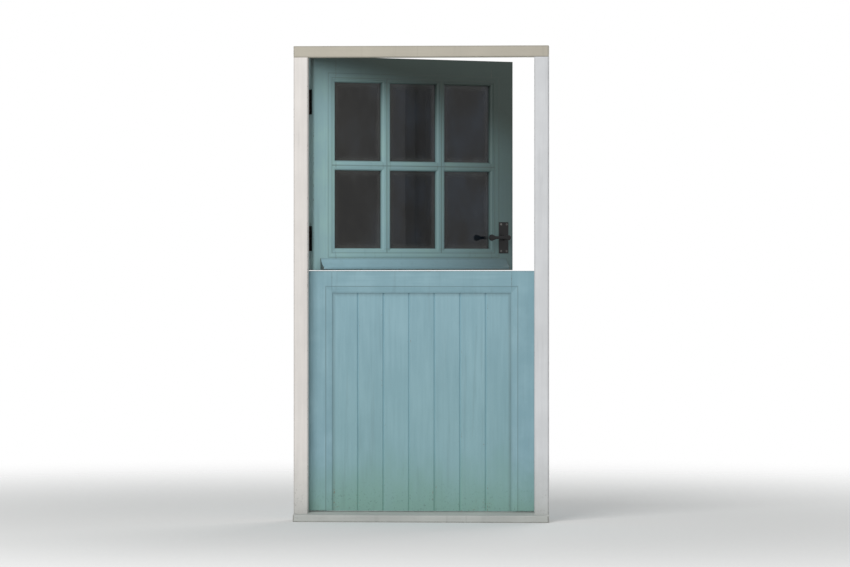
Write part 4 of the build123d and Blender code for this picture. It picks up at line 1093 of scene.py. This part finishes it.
class STABLEDOOR_OT_stage(Operator):
    """Pale floor, soft lamps, pale surroundings and the camera"""

    bl_idname = "stabledoor.stage"
    bl_label = "Stage"

    floor_rings = (14.0, 8.0, 4.0, 2.0, 0.0)
    floor_fade = (1.2, 5.0)  # radii between which the floor clears away
    front_place = (-2.8, -6.4, 4.4)
    back_place = (3.0, 6.0, 4.6)
    lamp_target = (0.0, 0.0, 0.9)
    lamp_size = (4.5, 3.5)
    back_share = 0.45  # of the front lamp's power
    sky = (0.97, 0.99, 1.00, 1.0)
    backdrop = (1.0, 1.0, 1.0, 1.0)

    def execute(self, context):
        stage = context.scene.stable_stage
        self.floor(stage)
        self.world(context.scene, stage)
        self.lamp("front_lamp", self.front_place, stage.key_light)
        self.lamp("back_lamp", self.back_place, stage.key_light * self.back_share)
        self.camera(context.scene, stage)
        return {"FINISHED"}

    def floor(self, stage):
        """Level disc whose rim fades out, so that it has no horizon."""
        floor = placed("floor", lathe([(radius, 0.0) for radius in self.floor_rings], 96))
        finish = Finish("floor")
        x, y, _ = finish.axes()
        reach = (x * x + y * y).math("SQRT")
        matt = finish.add("ShaderNodeBsdfDiffuse", values={"Color": linear(stage.floor)})
        clear = finish.add("ShaderNodeBsdfTransparent")
        fade = reach.rise(*self.floor_fade)
        shader = finish.add("ShaderNodeMixShader", values={0: fade, 1: matt, 2: clear})
        floor.data.materials.append(finish.finished(shader))

    def world(self, scene, stage):
        """Pale surroundings that camera, mirror and glass see at full strength, with softer light besides."""
        pale = Shading(bpy.data.worlds.new("pale_world"))
        seen = pale.add("ShaderNodeLightPath", output="Is Camera Ray")
        for ray in ("Is Glossy Ray", "Is Transmission Ray"):
            seen = seen.high(pale.add("ShaderNodeLightPath", output=ray))
        soft = pale.add("ShaderNodeBackground", values={"Color": self.sky, "Strength": stage.world_light})
        full = pale.add("ShaderNodeBackground", values={"Color": self.backdrop, "Strength": 1.0})
        either = pale.add("ShaderNodeMixShader", values={0: seen, 1: soft, 2: full})
        scene.world = pale.finished(either, "ShaderNodeOutputWorld")

    def lamp(self, name, place, power):
        """Large rectangular lamp aimed at the door."""
        light = bpy.data.lights.new(name, "AREA")
        light.shape = "RECTANGLE"
        light.size, light.size_y = self.lamp_size
        light.energy = power
        self.aim(bpy.data.objects.new(name, light), place, self.lamp_target)

    def camera(self, scene, stage):
        """Camera where the photographer stood, aimed at the middle of the door."""
        data = bpy.data.cameras.new("camera")
        data.lens = stage.lens
        data.clip_end = 200
        camera = bpy.data.objects.new("camera", data)
        low, high = CAD_BOX
        self.aim(camera, stage.camera_place, (Vector(low) + Vector(high)) / 2)
        scene.camera = camera
        scene.view_settings.view_transform = "Standard"

    def aim(self, thing, place, target):
        """Put a lamp or camera at a place, facing a target."""
        bpy.context.collection.objects.link(thing)
        thing.location = place
        thing.rotation_euler = (Vector(target) - Vector(place)).to_track_quat("-Z", "Y").to_euler()


class STABLEDOOR_PT_panel(Panel):
    """Steps that dress the stable door"""

    bl_idname = "STABLEDOOR_PT_panel"
    bl_label = "Stable Door"
    bl_space_type = "VIEW_3D"
    bl_region_type = "UI"
    bl_category = "Stable Door"

    def draw(self, context):
        for group in SETTINGS:
            settings = getattr(context.scene, group)
            box = self.layout.box()
            for name in settings.__annotations__:
                box.prop(settings, name)
        for operator in OPERATORS:
            self.layout.operator(operator.bl_idname)


SETTINGS = {"stable_paint": PaintSettings, "stable_hardware": HardwareSettings, "stable_stage": StageSettings}
OPERATORS = (
    STABLEDOOR_OT_frame_timbers,
    STABLEDOOR_OT_upper_leaf,
    STABLEDOOR_OT_lower_leaf,
    STABLEDOOR_OT_glazing,
    STABLEDOOR_OT_ironwork,
    STABLEDOOR_OT_screws,
    STABLEDOOR_OT_hinges,
    STABLEDOOR_OT_levers,
    STABLEDOOR_OT_spring,
    STABLEDOOR_OT_slide_bolts,
    STABLEDOOR_OT_stage,
)


def register():
    for group in (*SETTINGS.values(), *OPERATORS, STABLEDOOR_PT_panel):
        bpy.utils.register_class(group)
    for name, group in SETTINGS.items():
        setattr(bpy.types.Scene, name, PointerProperty(type=group))


def unregister():
    for name in SETTINGS:
        delattr(bpy.types.Scene, name)
    for group in (STABLEDOOR_PT_panel, *reversed(OPERATORS), *SETTINGS.values()):
        bpy.utils.unregister_class(group)


def main():
    register()
    for operator in OPERATORS:
        category, name = operator.bl_idname.split(".")
        getattr(getattr(bpy.ops, category), name)()
    bpy.context.view_layer.update()


if __name__ == "__main__":
    main()
